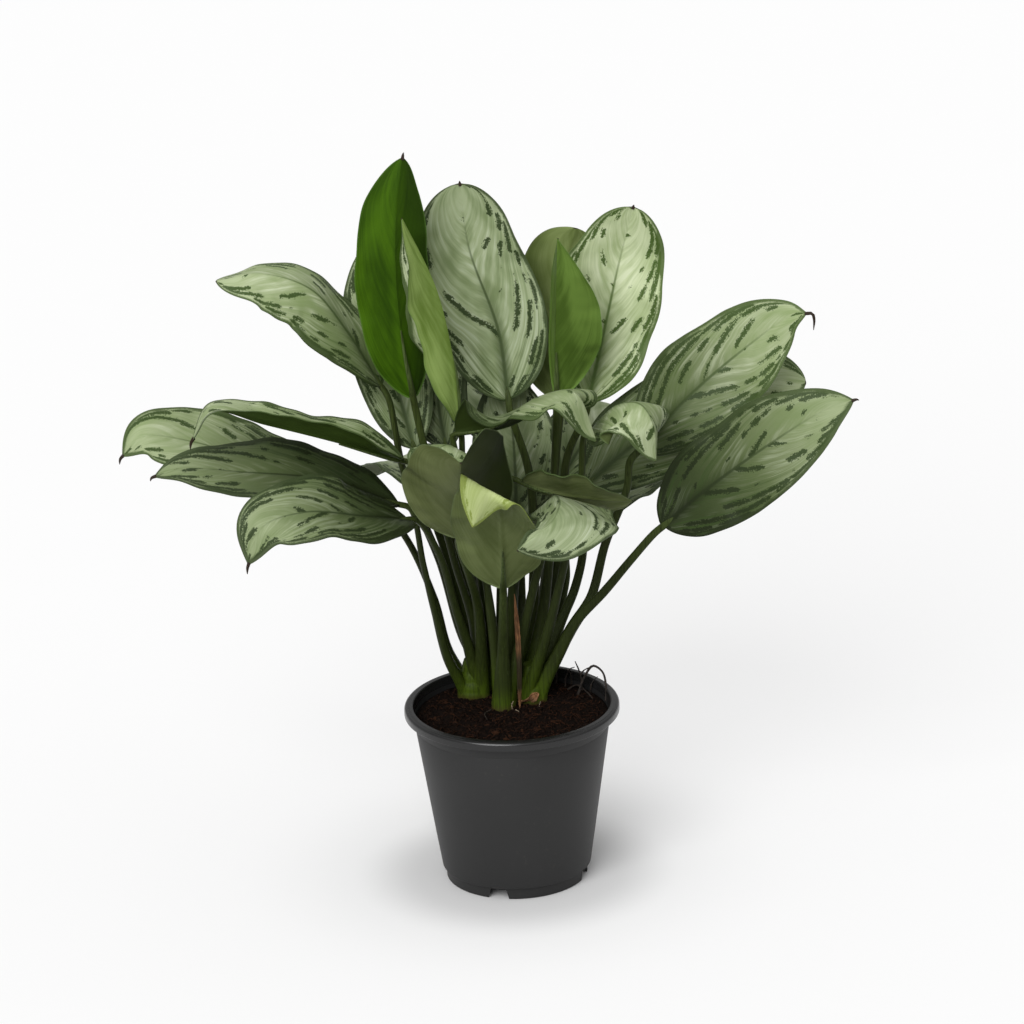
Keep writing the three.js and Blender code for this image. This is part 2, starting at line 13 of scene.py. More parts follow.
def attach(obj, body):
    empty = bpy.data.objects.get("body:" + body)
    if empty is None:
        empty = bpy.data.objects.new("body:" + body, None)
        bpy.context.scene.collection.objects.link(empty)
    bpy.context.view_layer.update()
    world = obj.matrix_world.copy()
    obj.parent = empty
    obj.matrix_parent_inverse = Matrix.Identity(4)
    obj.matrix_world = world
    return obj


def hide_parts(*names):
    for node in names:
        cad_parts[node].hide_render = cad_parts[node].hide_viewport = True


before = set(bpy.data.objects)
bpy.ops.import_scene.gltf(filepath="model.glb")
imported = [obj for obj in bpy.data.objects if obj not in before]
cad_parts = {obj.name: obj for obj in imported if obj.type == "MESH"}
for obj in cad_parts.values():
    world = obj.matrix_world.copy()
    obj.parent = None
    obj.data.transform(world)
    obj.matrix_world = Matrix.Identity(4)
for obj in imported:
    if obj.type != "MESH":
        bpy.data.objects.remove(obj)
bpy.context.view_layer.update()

MM = 0.001

# ---- sizes, as the part is drawn

POT_HEIGHT = 162
LIP_RADIUS = 95
LIP_FOOT_Z = 154
WALL = 1.6
WALL_TOP_RADIUS = 87.4
WALL_FOOT_RADIUS = 66
SKIRT_RADIUS = 62.6
SKIRT_INSIDE = SKIRT_RADIUS - WALL
SKIRT_HEIGHT = 10
SKIRT_STEP_Z = 11.4
FLOOR_DISC_RADIUS = 44
CHANNEL_RADIUS = 50
CHANNEL_Z = 7
NOTCH_TURNS = (-16, 74, 164, 254)
NOTCH_TOP_WIDTH = 14
NOTCH_FOOT_WIDTH = 19.5
NOTCH_HEIGHT = 9
NOTCH_INNER_RADIUS = 53

GAP = 0.3
SOIL_TOP = 151
STEM_DEPTH = 28
ROOT_PATH = ((60, 42, 146), (65, 42, 166), (73, 42, 177), (81, 38, 173), (84, 26, 163))

WIDEST = 0.44
TIP_WIDTH = 0.02
WAVES = 2.5
WAVE_LAG = 1.9
STALK_FOOT_RADIUS = 5.6
STALK_TIP_RADIUS = 3.2
STALK_LEAD = 12
STALK_FOOT_Z = 157

SHOOTS = {
    "left": dict(x=-34, y=48, radius=14),
    "front": dict(x=-7, y=18, radius=11),
    "right": dict(x=18, y=32, radius=13),
    "back": dict(x=-12, y=66, radius=12),
    "back_right": dict(x=20, y=61, radius=12),
}
CANE_COLLAR = 6
CANE_NECK = 34
CANE_NECK_RATIO = 0.55


USUAL_LOOK = (0.6, 0.3, 0.4, 0, 0.4)
LEAVES = []


def with_usual(**own):
    """The values of a leaf, with the usual ones where it has none of its own."""
    usual = dict(full=0.85, left_scale=1, roll=(0, 0, 0), right_fold=own["fold"], right_curl=own["curl"],
                 lead=STALK_LEAD, foot_radius=STALK_FOOT_RADIUS, look=USUAL_LOOK, hook=None, under=None)
    return usual | own


def grow(name, shoot, **own):
    """Adds a leaf to the plant.

    heading is the way it leans, foot where its stalk leaves its shoot, via the stalk's way up, and rib
    runs from the base of the blade to its tip. fold, curl and roll are angles at the base, the middle
    and the tip: the rise of the half to the left of the heading, how much it bends further out, and the
    turn about the rib. look says how many dark dashes it has, from cool grey to warm green above, from
    olive to bright green below, the bright green partly painted light shining through the blade, how
    yellow it is below, and how dark towards its base, partly its own darker green and partly painted
    shade. hook is the length of the dried tip, and how far it droops. under is how dark the underside
    is in painted shade, where look doesn't say it: the right half, and the left half at the rib and at
    the margin.
    """
    LEAVES.append(with_usual(name=name, shoot=shoot, **own))


# look's third value is partly painted light shining through the blade, its last value partly painted shade,
# and under is painted shade on the underside.
grow("top_left", "back", heading=-75, width=72, full=0.7, look=(0.5, 0.5, 1, 0, 0.2), hook=(9, 0.3),
     foot=(-16, 62), via=((-26, 60, 200), (-42, 54, 277), (-62, 50, 350)),
     rib=((-77, 48, 432), (-85, 40, 488), (-88, 34, 563), (-84, 34, 621), (-78, 38, 654)),
     fold=(22, 16, 14), curl=(14, 12, 8), under=(0, 0.2, 0.9))
grow("top_centre", "back_right", heading=88, width=98, full=0.5, left_scale=1.12,
     foot=(14, 58), via=((20, 66, 200), (24, 72, 269), (22, 74, 350)),
     rib=((6, 72, 419), (-1, 84, 480), (-24, 90, 554), (-30, 84, 615)),
     fold=(10, 8, 4), curl=(8, 6, 4), look=(0.7, 0.15, 0.4, 0, 0.1), hook=(4, 0.2))
grow("spear", "back", heading=-15, width=50, left_scale=1.5, look=(0.2, 0.5, 1, 0.9, 0),
     foot=(-8, 60), via=((-18, 56, 216), (-28, 46, 297), (-36, 32, 367)),
     rib=((-37, 22, 415), (-42, 14, 478), (-54, 4, 546), (-80, -2, 612)),
     fold=(30, 64, 45), curl=(4, 20, 4), right_fold=(30, 62, 24))
grow("top_right", "back_right", heading=92, width=88, full=0.5, left_scale=1.14,
     foot=(20, 55), via=((34, 60, 213), (48, 70, 287), (56, 78, 361)),
     rib=((76, 72, 415), (92, 84, 477), (107, 88, 539), (120, 80, 590)),
     fold=(8, 6, 4), curl=(8, 6, 4), look=(1.2, 0.92, 0.6, 0.2, 0), hook=(3, 0.2))
grow("top_behind", "back_right", heading=-95, width=90, full=0.6, look=(0.4, 0.5, 0, 0.5, 0),
     foot=(18, 66), via=((28, 84, 202), (38, 100, 274), (46, 108, 348)),
     rib=((52, 112, 403), (56, 124, 474), (61, 128, 528), (70, 122, 559)),
     fold=(10, 10, 10), curl=(10, 10, 6))
grow("young", "right", heading=-90, width=76, full=1.3, look=(0.5, 0.7, 0.95, 0.25, 0),
     foot=(16, 40), via=((32, 46, 240), (41, 42, 317), (45, 38, 374)),
     rib=((48, 36, 433), (49, 30, 483), (51, 28, 533), (53, 34, 578)),
     fold=(10, 8, 8), curl=(10, 10, 5), right_fold=(80, 84, 80), right_curl=(0, 0, 0))
grow("inner_left", "back", heading=62, width=74, look=(0.9, 0, 0.4, 0, 0.3),
     foot=(-10, 68), via=((-24, 80, 209), (-36, 86, 290), (-44, 86, 334)),
     rib=((-50, 86, 370), (-56, 96, 416), (-50, 112, 480), (-30, 120, 542)),
     fold=(10, 10, 6), curl=(10, 10, 6))
grow("upper_back", "back", heading=92, width=66, look=(0.6, 0.2, 0.4, 0, 0.3),
     foot=(-18, 71), via=((-36, 84, 200), (-52, 84, 266), (-68, 74, 326)),
     rib=((-78, 66, 378), (-89, 92, 415), (-108, 120, 479), (-124, 138, 534)),
     fold=(10, 10, 6), curl=(10, 10, 6))
grow("upper_left", "back", heading=165, width=86, full=0.6, look=(1.2, 0.5, 0.4, 0, 0.7),
     foot=(-19, 66), via=((-40, 72, 196), (-58, 70, 266), (-88, 58, 360)),
     rib=((-105, 62, 439), (-133, 70, 488), (-163, 75, 526), (-206, 74, 542), (-245, 66, 539)),
     fold=(8, 0, 0), curl=(6, 0, -6), roll=(-10, -36, -36), right_fold=(10, -40, -40))
grow("left_high", "left", heading=185, width=78, look=(0.5, 0.4, 0.8, 0.1, 0.5), hook=(7, 0.8),
     foot=(-28, 50), via=((-31, 46, 218), (-44, 36, 274), (-62, 22, 352)),
     rib=((-87, 4, 390), (-136, -14, 414), (-204, -24, 438), (-249, -28, 452), (-267, -28, 427)),
     fold=(24, 28, 10), curl=(8, 4, 0), roll=(0, 8, 0), right_fold=(24, 16, 4))
grow("left_far", "left", heading=180, width=92, look=(0.9, 0.4, 0.5, 0, 0.9), hook=(6, 0.8),
     foot=(-39, 55), via=((-55, 60, 190), (-66, 62, 240), (-94, 52, 310)),
     rib=((-140, 56, 347), (-204, 62, 368), (-273, 60, 394), (-315, 54, 402), (-334, 50, 386)),
     fold=(8, 4, 0), curl=(8, 4, 0), roll=(0, -18, -36))
grow("left_middle", "left", heading=186, width=86, look=(1, 0.1, 0.3, 0, 1.4), hook=(5, 0.6),
     foot=(-42, 45), via=((-55, 36, 192), (-65, 26, 241), (-73, 14, 289)),
     rib=((-93, 4, 350), (-151, -10, 379), (-227, -20, 393), (-279, -26, 400), (-302, -30, 395)),
     fold=(8, 4, 0), curl=(8, 4, 0), roll=(-6, -20, -16))
grow("left_low", "left", heading=205, width=84, look=(1.3, 0.1, 0.3, 0, 1.15), hook=(6, 0.9),
     foot=(-30, 44), via=((-36, 38, 198), (-46, 24, 241), (-58, 0, 301)),
     rib=((-84, -38, 351), (-122, -80, 371), (-171, -110, 387), (-206, -130, 382), (-219, -138, 352)),
     fold=(10, 6, 0), curl=(10, 4, 0), roll=(-6, -24, -30))
grow("front_boat", "left", heading=-90, width=108, left_scale=1.2, look=(0.5, 0.4, 0.1, 0.1, 0.3),
     foot=(-26, 42), via=((-26, 24, 238), (-33, -4, 283)),
     rib=((-41, -34, 331), (-40, -62, 367), (-38, -98, 404), (-36, -136, 436)),
     fold=(10, 38, 55), curl=(15, 30, 20), right_fold=(8, 22, 45), right_curl=(12, 24, 20),
     under=(0.1, 1, 1.8))
grow("front_low", "front", heading=-90, width=92, left_scale=0.8, foot_radius=8, look=(0.2, 1, 0.2, 0.2, 0),
     foot=(-8, 14), via=((-6, 10, 208),),
     rib=((-4, -12, 275), (-3, -56, 331), (-5, -104, 384), (-14, -126, 407), (-28, -146, 382)),
     fold=(8, -4, -6), curl=(10, 0, -6), roll=(0, -22, -36))
grow("front_right", "front", heading=-80, width=58, left_scale=1.9, look=(0.8, 0.1, 0.3, 0, 0.5),
     foot=(-3, 20), via=((12, 20, 220), (28, 8, 286)),
     rib=((40, -24, 336), (42, -77, 383), (46, -127, 392), (36, -158, 385), (9, -176, 371)),
     fold=(-6, -22, -16), curl=(-4, -12, -10), right_fold=(-14, -38, -40), right_curl=(0, -6, -8))
grow("front_behind", "front", heading=-20, width=72, look=(0.4, 0.4, 0.1, 0.2, 0),
     foot=(-2, 24), via=((2, 30, 226), (6, 20, 300)),
     rib=((15, -14, 373), (48, -26, 366), (82, -34, 362), (110, -40, 362)),
     fold=(8, 4, 0), curl=(8, 4, 0), roll=(-40, -46, -40))
grow("arch_centre", "front", heading=-12, width=94, lead=4, look=(0.95, 0.4, 0.6, 0, 0.9),
     foot=(-11, 24), via=((-14, 24, 212), (-22, 18, 292), (-37, 16, 370)),
     rib=((-40, 14, 410), (-4, -2, 424), (34, -32, 458), (64, -58, 468), (80, -70, 428)),
     fold=(-12, -20, -26), curl=(-20, -12, -14), right_fold=(84, 10, -34), right_curl=(0, -10, -6),
     under=(1.5, 1.2, 1.2))
grow("arch_right", "right", heading=-30, width=94, look=(0.8, 0.4, 0.4, 0, 0.5),
     foot=(15, 27), via=((34, 20, 221), (51, 12, 290), (66, 2, 359)),
     rib=((77, -6, 418), (99, -28, 446), (119, -46, 452), (129, -60, 438), (130, -70, 408)),
     fold=(-8, -16, -20), curl=(-10, -20, -20), right_fold=(-12, -24, -20))
grow("inner_front", "left", heading=-130, width=78, look=(0.6, 0.3, 0.1, 0, 0.6),
     foot=(-26, 48), via=((-28, 38, 240), (-33, 12, 300)),
     rib=((-30, 0, 352), (-36, -10, 392), (-48, -26, 414), (-62, -44, 408), (-68, -54, 384)),
     fold=(-4, -10, -4), curl=(-4, -8, -4))
grow("right_high", "right", heading=25, width=86, full=0.95, look=(1.2, 0.6, 0.3, 0, 0.9), hook=(14, 1.2),
     foot=(24, 34), via=((54, 36, 214), (73, 36, 245), (87, 38, 294), (107, 36, 345)),
     rib=((119, 30, 383), (164, 36, 430), (215, 40, 472), (250, 36, 498), (267, 30, 504)),
     fold=(8, 4, 2), curl=(8, 4, 0), roll=(60, 55, 45))
grow("right_under", "right", heading=22, width=92, full=0.55, look=(0.6, 0.5, 0.3, 0, 0.8),
     foot=(21, 39), via=((45, 47, 216), (60, 52, 250), (68, 56, 290)),
     rib=((70, 60, 340), (121, 70, 378), (183, 80, 408), (237, 84, 424), (268, 82, 422)),
     fold=(8, 4, 2), curl=(8, 4, 0), roll=(50, 48, 40))
grow("right_low", "right", heading=20, width=88, left_scale=0.94, look=(1.4, 0.3, 0.3, 0, 1.2),
     foot=(25, 28), via=((44, 22, 200), (60, 16, 231), (84, 8, 260), (108, 0, 292)),
     rib=((137, -8, 326), (174, -22, 363), (230, -34, 408), (277, -40, 439), (302, -42, 448)),
     fold=(8, 4, 2), curl=(8, 4, 0), roll=(60, 55, 50), hook=(6, 0.3))
grow("inner_back", "back", heading=92, width=76, look=(0.7, 0, 0.4, 0, 0.6),
     foot=(-2, 70), via=((4, 88, 220), (8, 94, 256)),
     rib=((9, 96, 290), (10, 96, 340), (8, 99, 388), (2, 108, 436)),
     fold=(6, 4, 4), curl=(6, 4, 4))
grow("back_right", "back_right", heading=60, width=86,
     foot=(26, 65), via=((32, 86, 220), (42, 104, 280)),
     rib=((48, 118, 322), (78, 164, 352), (104, 216, 358), (122, 262, 334)),
     fold=(12, 8, 4), curl=(10, 6, 0))
grow("back_centre", "back", heading=100, width=88,
     foot=(-7, 73), via=((-6, 96, 230), (-4, 118, 300)),
     rib=((-2, 132, 350), (-12, 180, 384), (-22, 238, 382), (-30, 292, 348)),
     fold=(12, 8, 4), curl=(10, 6, 0))
grow("back_left", "back", heading=125, width=80,
     foot=(-15, 74), via=((-28, 96, 220), (-38, 108, 264)),
     rib=((-46, 118, 300), (-70, 160, 322), (-98, 206, 318), (-118, 244, 290)),
     fold=(12, 8, 4), curl=(10, 6, 0))
grow("back_right_low", "back_right", heading=48, width=78,
     foot=(27, 58), via=((42, 76, 206), (52, 86, 244)),
     rib=((60, 96, 276), (92, 136, 300), (128, 184, 304), (150, 226, 290)),
     fold=(12, 8, 4), curl=(10, 6, 0))
grow("back_low", "back_right", heading=88, width=84,
     foot=(15, 69), via=((12, 92, 200), (12, 112, 236)),
     rib=((13, 128, 262), (16, 176, 282), (20, 228, 274), (24, 272, 244)),
     fold=(12, 8, 4), curl=(10, 6, 0))


# ---- paths and meshes

CHANNEL_WIDTH = 0.6


def eased(values, u):
    """A value given at the base, the middle and the tip, eased between them."""
    base, middle, tip = values
    u = np.asarray(u, float)
    low = np.clip(u / 0.5, 0, 1)
    high = np.clip((u - 0.5) / 0.5, 0, 1)
    first = base + (middle - base) * low * low * (3 - 2 * low)
    second = middle + (tip - middle) * high * high * (3 - 2 * high)
    return np.where(u < 0.5, first, second)


def normalized(v):
    return v / np.maximum(np.linalg.norm(v, axis=-1, keepdims=True), 1e-9)


def wander(x, y, z):
    """Smooth noise from about -1 to 1."""
    return noise.noise(Vector((x, y, z)))


def spline_point(knots, t):
    """A centripetal Catmull-Rom curve through knots, at t from 0 to 1."""
    last = len(knots) - 1
    place = last * t
    i = min(int(place), last - 1)
    w = place - i
    p1, p2 = knots[i], knots[i + 1]
    p0 = knots[i - 1] if i > 0 else 2 * p1 - p2
    p3 = knots[i + 2] if i + 2 <= last else 2 * p2 - p1
    d0, d1, d2 = (math.sqrt(np.linalg.norm(b - a)) for a, b in ((p0, p1), (p1, p2), (p2, p3)))
    t1 = ((p1 - p0) / d0 - (p2 - p0) / (d0 + d1) + (p2 - p1) / d1) * d1
    t2 = ((p2 - p1) / d1 - (p3 - p1) / (d1 + d2) + (p3 - p2) / d2) * d1
    bend = -3 * p1 + 3 * p2 - 2 * t1 - t2
    return p1 + t1 * w + bend * w * w + (2 * p1 - 2 * p2 + t1 + t2) * w**3


class Path:
    """A smooth curve through points, read by its share of length."""

    SAMPLES = 400
    TANGENT_STEP = 0.002

    def __init__(self, points):
        knots = np.array(points, float)
        self.points = np.array([spline_point(knots, i / self.SAMPLES) for i in range(self.SAMPLES + 1)])
        steps = np.linalg.norm(np.diff(self.points, axis=0), axis=1)
        self.lengths = np.concatenate(([0.0], np.cumsum(steps)))
        self.length = self.lengths[-1]

    def at(self, u):
        where = np.asarray(u, float) * self.length
        return np.stack([np.interp(where, self.lengths, self.points[:, k]) for k in range(3)], -1)

    def along(self, u):
        u = np.asarray(u, float)
        step = self.at(np.minimum(u + self.TANGENT_STEP, 1)) - self.at(np.maximum(u - self.TANGENT_STEP, 0))
        return normalized(step)


def new_object(name, data):
    thing = bpy.data.objects.new(name, data)
    bpy.context.scene.collection.objects.link(thing)
    return thing


class Shape:
    """Vertices in millimetres, faces and values per vertex, gathered into one mesh object."""

    def __init__(self):
        self.points = []
        self.faces = []
        self.slots = []
        self.values = {}

    def add(self, points, faces, slots=None, **values):
        start = len(self.points)
        self.points.extend(map(tuple, points))
        self.faces.extend(tuple(start + i for i in face) for face in faces)
        self.slots.extend(slots or [0] * len(faces))
        for name, rows in values.items():
            self.values.setdefault(name, []).extend(map(tuple, rows))

    def build(self, name, materials, sharp=None):
        mesh = bpy.data.meshes.new(name)
        mesh.from_pydata([(x * MM, y * MM, z * MM) for x, y, z in self.points], [], self.faces)
        for material in materials:
            mesh.materials.append(material)
        mesh.polygons.foreach_set("material_index", self.slots)
        for label, rows in self.values.items():
            layer = mesh.attributes.new(label, "FLOAT_VECTOR", "POINT")
            layer.data.foreach_set("vector", [v for row in rows for v in row])
        mesh.shade_smooth()
        if sharp is not None:
            mesh.set_sharp_from_angle(angle=math.radians(sharp))
        mesh.update()
        return new_object(name, mesh)


def grid_faces(rows, columns, closed=False):
    """Quads over a grid of rows and columns, which closes on itself across the columns if asked."""
    span = columns if closed else columns - 1
    return [
        (i * columns + j, (i + 1) * columns + j, (i + 1) * columns + (j + 1) % columns,
         i * columns + (j + 1) % columns)
        for i in range(rows - 1) for j in range(span)
    ]


def sheet(grid, rise, drop):
    """The points of a grid raised and lowered along its normals, and the faces of the thin sheet
    between them: above, below and round the margin."""
    normal = normalized(np.cross(np.gradient(grid, axis=0), np.gradient(grid, axis=1)))
    points = np.concatenate([(grid + normal * rise).reshape(-1, 3), (grid - normal * drop).reshape(-1, 3)])
    rows, columns = grid.shape[:2]
    count = rows * columns
    upper = grid_faces(rows, columns)
    lower = [tuple(count + i for i in reversed(face)) for face in upper]
    number = np.arange(count).reshape(rows, columns)
    sides = number[:, 0], number[-1, 1:], number[-2::-1, -1], number[0, -2:0:-1]
    margin = np.concatenate(sides).tolist()
    strip = [(a, count + a, count + b, b) for a, b in zip(margin, margin[1:] + margin[:1])]
    return points, upper, lower, strip


def dress(piece, slot, node=None):
    """The piece rides on the part's one body, and may stand for a node. slot is not used."""
    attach(piece, "root")
    if node:
        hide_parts(node)


def tube_rings(path, shares, radii, side, sides, flat=1.0, channel=0.0):
    """Rings along a path. side starts the frame at the last ring, flat squeezes the ring from above,
    and channel sinks a groove into its upper face."""
    centres = path.at(shares)
    tangents = path.along(shares)
    turns = np.arange(sides) * 2 * math.pi / sides
    dip = 1 - channel * np.exp(-(((turns - math.pi / 2) / CHANNEL_WIDTH) ** 2))
    rings = [None] * len(shares)
    for i in range(len(shares) - 1, -1, -1):
        side = normalized(side - tangents[i] * np.dot(side, tangents[i]))
        up = np.cross(tangents[i], side)
        radius = np.asarray(radii[i]) * dip
        rings[i] = (centres[i] + np.outer(radius * np.cos(turns), side)
                    + np.outer(radius * np.sin(turns) * flat, up))
    return np.array(rings)


def add_tube(shape, rings, **values):
    """A closed tube: its rings, and a cap at each end."""
    count, sides = rings.shape[:2]
    faces = [tuple(reversed(face)) for face in grid_faces(count, sides, closed=True)]
    faces.append(tuple(reversed(range(sides))))
    faces.append(tuple((count - 1) * sides + k for k in range(sides)))
    shape.add(rings.reshape(-1, 3), faces, **values)


# ---- leaf blades

BLADE_ROWS = 92
HALF_COLUMNS = 11
COLUMN_POWER = 1.3
RIB_THICKNESS = 0.9
MARGIN_THICKNESS = 0.35
GROOVE = 0.45
KEEL = 1.5
RIB_WIDTH = 1.5
VEIN_REACH = 0.95
VEIN_RUN = 3.0
EDGE_WAVE = 0.1
QUILT_VEINS = 11
QUILT = 0.28
RIPPLES = 7
RIPPLE = 0.6
UNEVEN = 1.3
LOOK_SEED = 3.7
BLADE_SHARP = 50
HOOK_RADII = (1.6, 1.6, 1.5, 1.4, 1.3, 1.1, 0.9, 0.6, 0.3)


def outline(u, full):
    """Half of the blade's width along its length, 1 at the widest: a round base and a drawn-out tip."""
    to_base = np.maximum(0, 1 - u / WIDEST)
    to_tip = np.maximum(0, (u - WIDEST) / (1 - WIDEST))
    return np.maximum(TIP_WIDTH, (1 - to_base**2.2) ** 0.6 * (1 - to_tip**2.5) ** full)


def rib_frame(path, leaf, u):
    """The rib's frame: along it, out to the left half, and up from the upper face."""
    along = path.along(u)
    heading = math.radians(leaf["heading"])
    side = np.array([-math.sin(heading), math.cos(heading), 0.0])
    side = normalized(side - along * (along @ side)[..., None])
    roll = np.radians(eased(leaf["roll"], u))[..., None]
    side = side * np.cos(roll) + np.cross(along, side) * np.sin(roll)
    return along, side, np.cross(along, side)


def half_blade(leaf, u, v, left, phase):
    """How far out and up the columns of one half lie, and the half's width there."""
    fold = eased(leaf["fold" if left else "right_fold"], u)[:, None]
    curl = eased(leaf["curl" if left else "right_curl"], u)[:, None]
    swell = outline(u, leaf["full"])
    reach = leaf["width"] / 2 * swell * (leaf["left_scale"] if left else 1)
    reach *= np.array([1 + EDGE_WAVE * wander(4.2 * a, 5.0 * left, 3.3 * phase) for a in u])
    angles = np.radians(fold + curl * (v[1:] + v[:-1]) / 2)
    widths = np.diff(v) * reach[:, None]
    out = np.cumsum(np.cos(angles) * widths, axis=1)
    rise = np.cumsum(np.sin(angles) * widths, axis=1)
    lag = phase + (0 if left else WAVE_LAG)
    swing = np.sin(2 * math.pi * WAVES * u + lag)[:, None]
    ripple = RIPPLE * np.sin(2 * math.pi * RIPPLES * u + 1.7 * lag)[:, None]
    v = v[1:]
    veins = u[:, None] + np.log(1 - VEIN_REACH * v) / VEIN_RUN
    quilt = QUILT * np.sin(2 * math.pi * QUILT_VEINS * veins) * 4 * v * (1 - v)
    rise += swell[:, None] * (2 * swing * v**2 + ripple * v**3 + quilt)
    return out, rise, reach


def blade_grid(leaf, phase):
    """The blade's middle surface as a grid from base to tip and from the right margin to the left, with
    each point's place on the blade: across it, along it, and in from the margin."""
    x = np.linspace(0, 1, BLADE_ROWS)
    u = (x + 0.5 - 0.5 * np.cos(math.pi * x)) / 2
    v = np.linspace(0, 1, HALF_COLUMNS + 1) ** COLUMN_POWER
    path = Path(leaf["rib"])
    _, side, up = rib_frame(path, leaf, u)
    centre = path.at(u)
    grid = np.zeros((BLADE_ROWS, 2 * HALF_COLUMNS + 1, 3))
    place = np.zeros_like(grid)
    grid[:, HALF_COLUMNS] = centre
    place[:, :, 1] = u[:, None]
    for left, sign in ((True, 1), (False, -1)):
        out, rise, reach = half_blade(leaf, u, v, left, phase)
        for j in range(1, HALF_COLUMNS + 1):
            column = HALF_COLUMNS + sign * j
            uneven = [UNEVEN * v[j] * wander(3 * a, 1.5 * sign * v[j], 9.1 * phase) for a in u]
            lift = rise[:, j - 1] + np.array(uneven)
            grid[:, column] = centre + sign * side * out[:, j - 1, None] + up * lift[:, None]
            place[:, column, 0] = sign * v[j]
            place[:, column, 2] = (1 - v[j]) * reach
        if left:
            place[:, HALF_COLUMNS, 2] = reach
    return grid, place


def hook(path, length, droop):
    """The dried drip tip: it runs on from the blade's point and bends down."""
    end, along = path.at(1.0), path.along(1.0)
    fall = np.array([0, 0, -length * droop])
    bend = Path((end - along * 2, end + along * length * 0.35 + fall * 0.1,
                 end + along * length * (0.65 - 0.15 * droop) + fall * 0.45,
                 end + along * length * (0.9 - 0.4 * droop) + fall))
    shares = np.linspace(0, 1, len(HOOK_RADII))
    rings = tube_rings(bend, shares, HOOK_RADII, np.array([0.3, 1, 0.2]), sides=8)
    place = np.tile([0.0, 1.05, 0.0], (rings.shape[0] * rings.shape[1], 1))
    return rings, place


def blade(leaf, index, materials):
    """One leaf blade: two faces with a groove above the rib and a keel below it, thin at the margin."""
    name = leaf["name"]
    grid, place = blade_grid(leaf, index)
    share, u, inset = np.split(np.abs(place), 3, axis=2)
    across = share * inset / np.maximum(1 - share, 0.02)
    ridge = np.exp(-((across / RIB_WIDTH) ** 2)) * (1 - u) ** 0.7
    half = (RIB_THICKNESS + (MARGIN_THICKNESS - RIB_THICKNESS) * share**2) / 2
    points, upper, lower, strip = sheet(grid, half - GROOVE * ridge, half + KEEL * ridge)

    marks, tone, bright, yellow, darkening_and_shade = leaf["look"]
    look = np.tile([index * LOOK_SEED, marks, tone], (len(points), 1))
    # The last value of below is how dark the blade is painted: partly its own darker green, partly painted
    # shade. On the underside, under paints shade on each half.
    below = np.tile([bright, yellow, darkening_and_shade], (len(points), 1))
    flat = place.reshape(-1, 3)
    below[len(flat):, 2] = np.interp(flat[:, 0], (-0.05, 0.05, 1), leaf["under"] or (darkening_and_shade,) * 3)
    shape = Shape()
    slots = [0] * len(upper) + [1] * len(lower) + [0] * len(strip)
    shape.add(points, upper + lower + strip, slots, blade=np.tile(flat, (2, 1)), look=look, below=below)
    if leaf["hook"]:
        rings, tip = hook(Path(leaf["rib"]), *leaf["hook"])
        add_tube(shape, rings, blade=tip, look=look[:len(tip)], below=below[:len(tip)])
    piece = shape.build("blade_" + name, materials, sharp=BLADE_SHARP)
    dress(piece, "leaf_underside" if bright >= 1 else "leaf_upper", "leaf_" + name)


# ---- stalks and canes

STALK_RINGS = 60
STALK_SIDES = 20
RINGS_BEYOND = 15
STALK_SHARP = 60
SHEATH_SPREAD = 0.35
SHEATH_SHARE = 0.42
STALK_SEED = 2.3
UNDER_BLADE = ((0.05, 1.3), (0.12, 2.0), (0.2, 2.3), (0.3, 2.2))
STALK_END_RADIUS = 0.7
CANE_RINGS = 46
CANE_SIDES = 28
NODE_SPACING = 9


def ring_values(rings, up, seed):
    """How far up the stalk each ring's points are, and the stalk's own seed."""
    sides = rings.shape[1]
    return [(height, seed, 0) for height in up for _ in range(sides)]


def stalk(shape, leaf, index):
    """A leaf stalk: a wide sheath at its foot, a channel along its upper side, and on under the rib."""
    rib = Path(leaf["rib"])
    along, side, _ = rib_frame(rib, leaf, np.array([0.0]))
    base = rib.at(0.0)
    x, y = leaf["foot"]
    points = [(x, y, SOIL_TOP - 4), (x, y, STALK_FOOT_Z), *leaf["via"], base - along[0] * leaf["lead"],
              base - along[0] * GAP]
    reaches = len(points)
    for share, drop in UNDER_BLADE:
        _, _, rib_up = rib_frame(rib, leaf, np.array([share]))
        points.append(rib.at(share) - rib_up[0] * drop)
    path = Path(points)
    knot = (reaches - 1) / (len(points) - 1)
    to_base = path.lengths[round(knot * Path.SAMPLES)] / path.length
    shares = np.concatenate([np.linspace(0, to_base, STALK_RINGS),
                             np.linspace(to_base, 1, RINGS_BEYOND + 1)[1:]])
    way = np.minimum(shares / to_base, 1)
    radii = leaf["foot_radius"] + (STALK_TIP_RADIUS - leaf["foot_radius"]) * way**0.7
    radii *= 1 + SHEATH_SPREAD * np.clip(1 - way / SHEATH_SHARE, 0, 1) ** 0.7
    beyond = np.clip((shares - to_base) / (1 - to_base), 0, 1)
    radii = radii + (STALK_END_RADIUS - STALK_TIP_RADIUS) * beyond**0.8
    rings = tube_rings(path, shares, radii, side[0], flat=0.86, channel=0.3, sides=STALK_SIDES)
    add_tube(shape, rings, stalk=ring_values(rings, way + beyond, index * STALK_SEED))


def cane(shape, spot, index):
    """The short cane that the stalks clasp, ringed where old leaves were."""
    z = np.linspace(SOIL_TOP - STEM_DEPTH, SOIL_TOP + CANE_NECK, CANE_RINGS)
    taper = np.clip((z - SOIL_TOP - CANE_COLLAR) / (CANE_NECK - CANE_COLLAR), 0, 1)
    radii = spot["radius"] * (1 + (CANE_NECK_RATIO - 1) * taper)
    radii = radii * (1 - 0.05 * np.abs(np.sin(math.pi * z / NODE_SPACING)) ** 6)
    path = Path([(spot["x"], spot["y"], z[0]), (spot["x"], spot["y"], z[-1])])
    rings = tube_rings(path, (z - z[0]) / (z[-1] - z[0]), radii, np.array([1.0, 0, 0]), sides=CANE_SIDES)
    add_tube(shape, rings, stalk=ring_values(rings, 0.1 * (z - SOIL_TOP) / CANE_NECK, index))


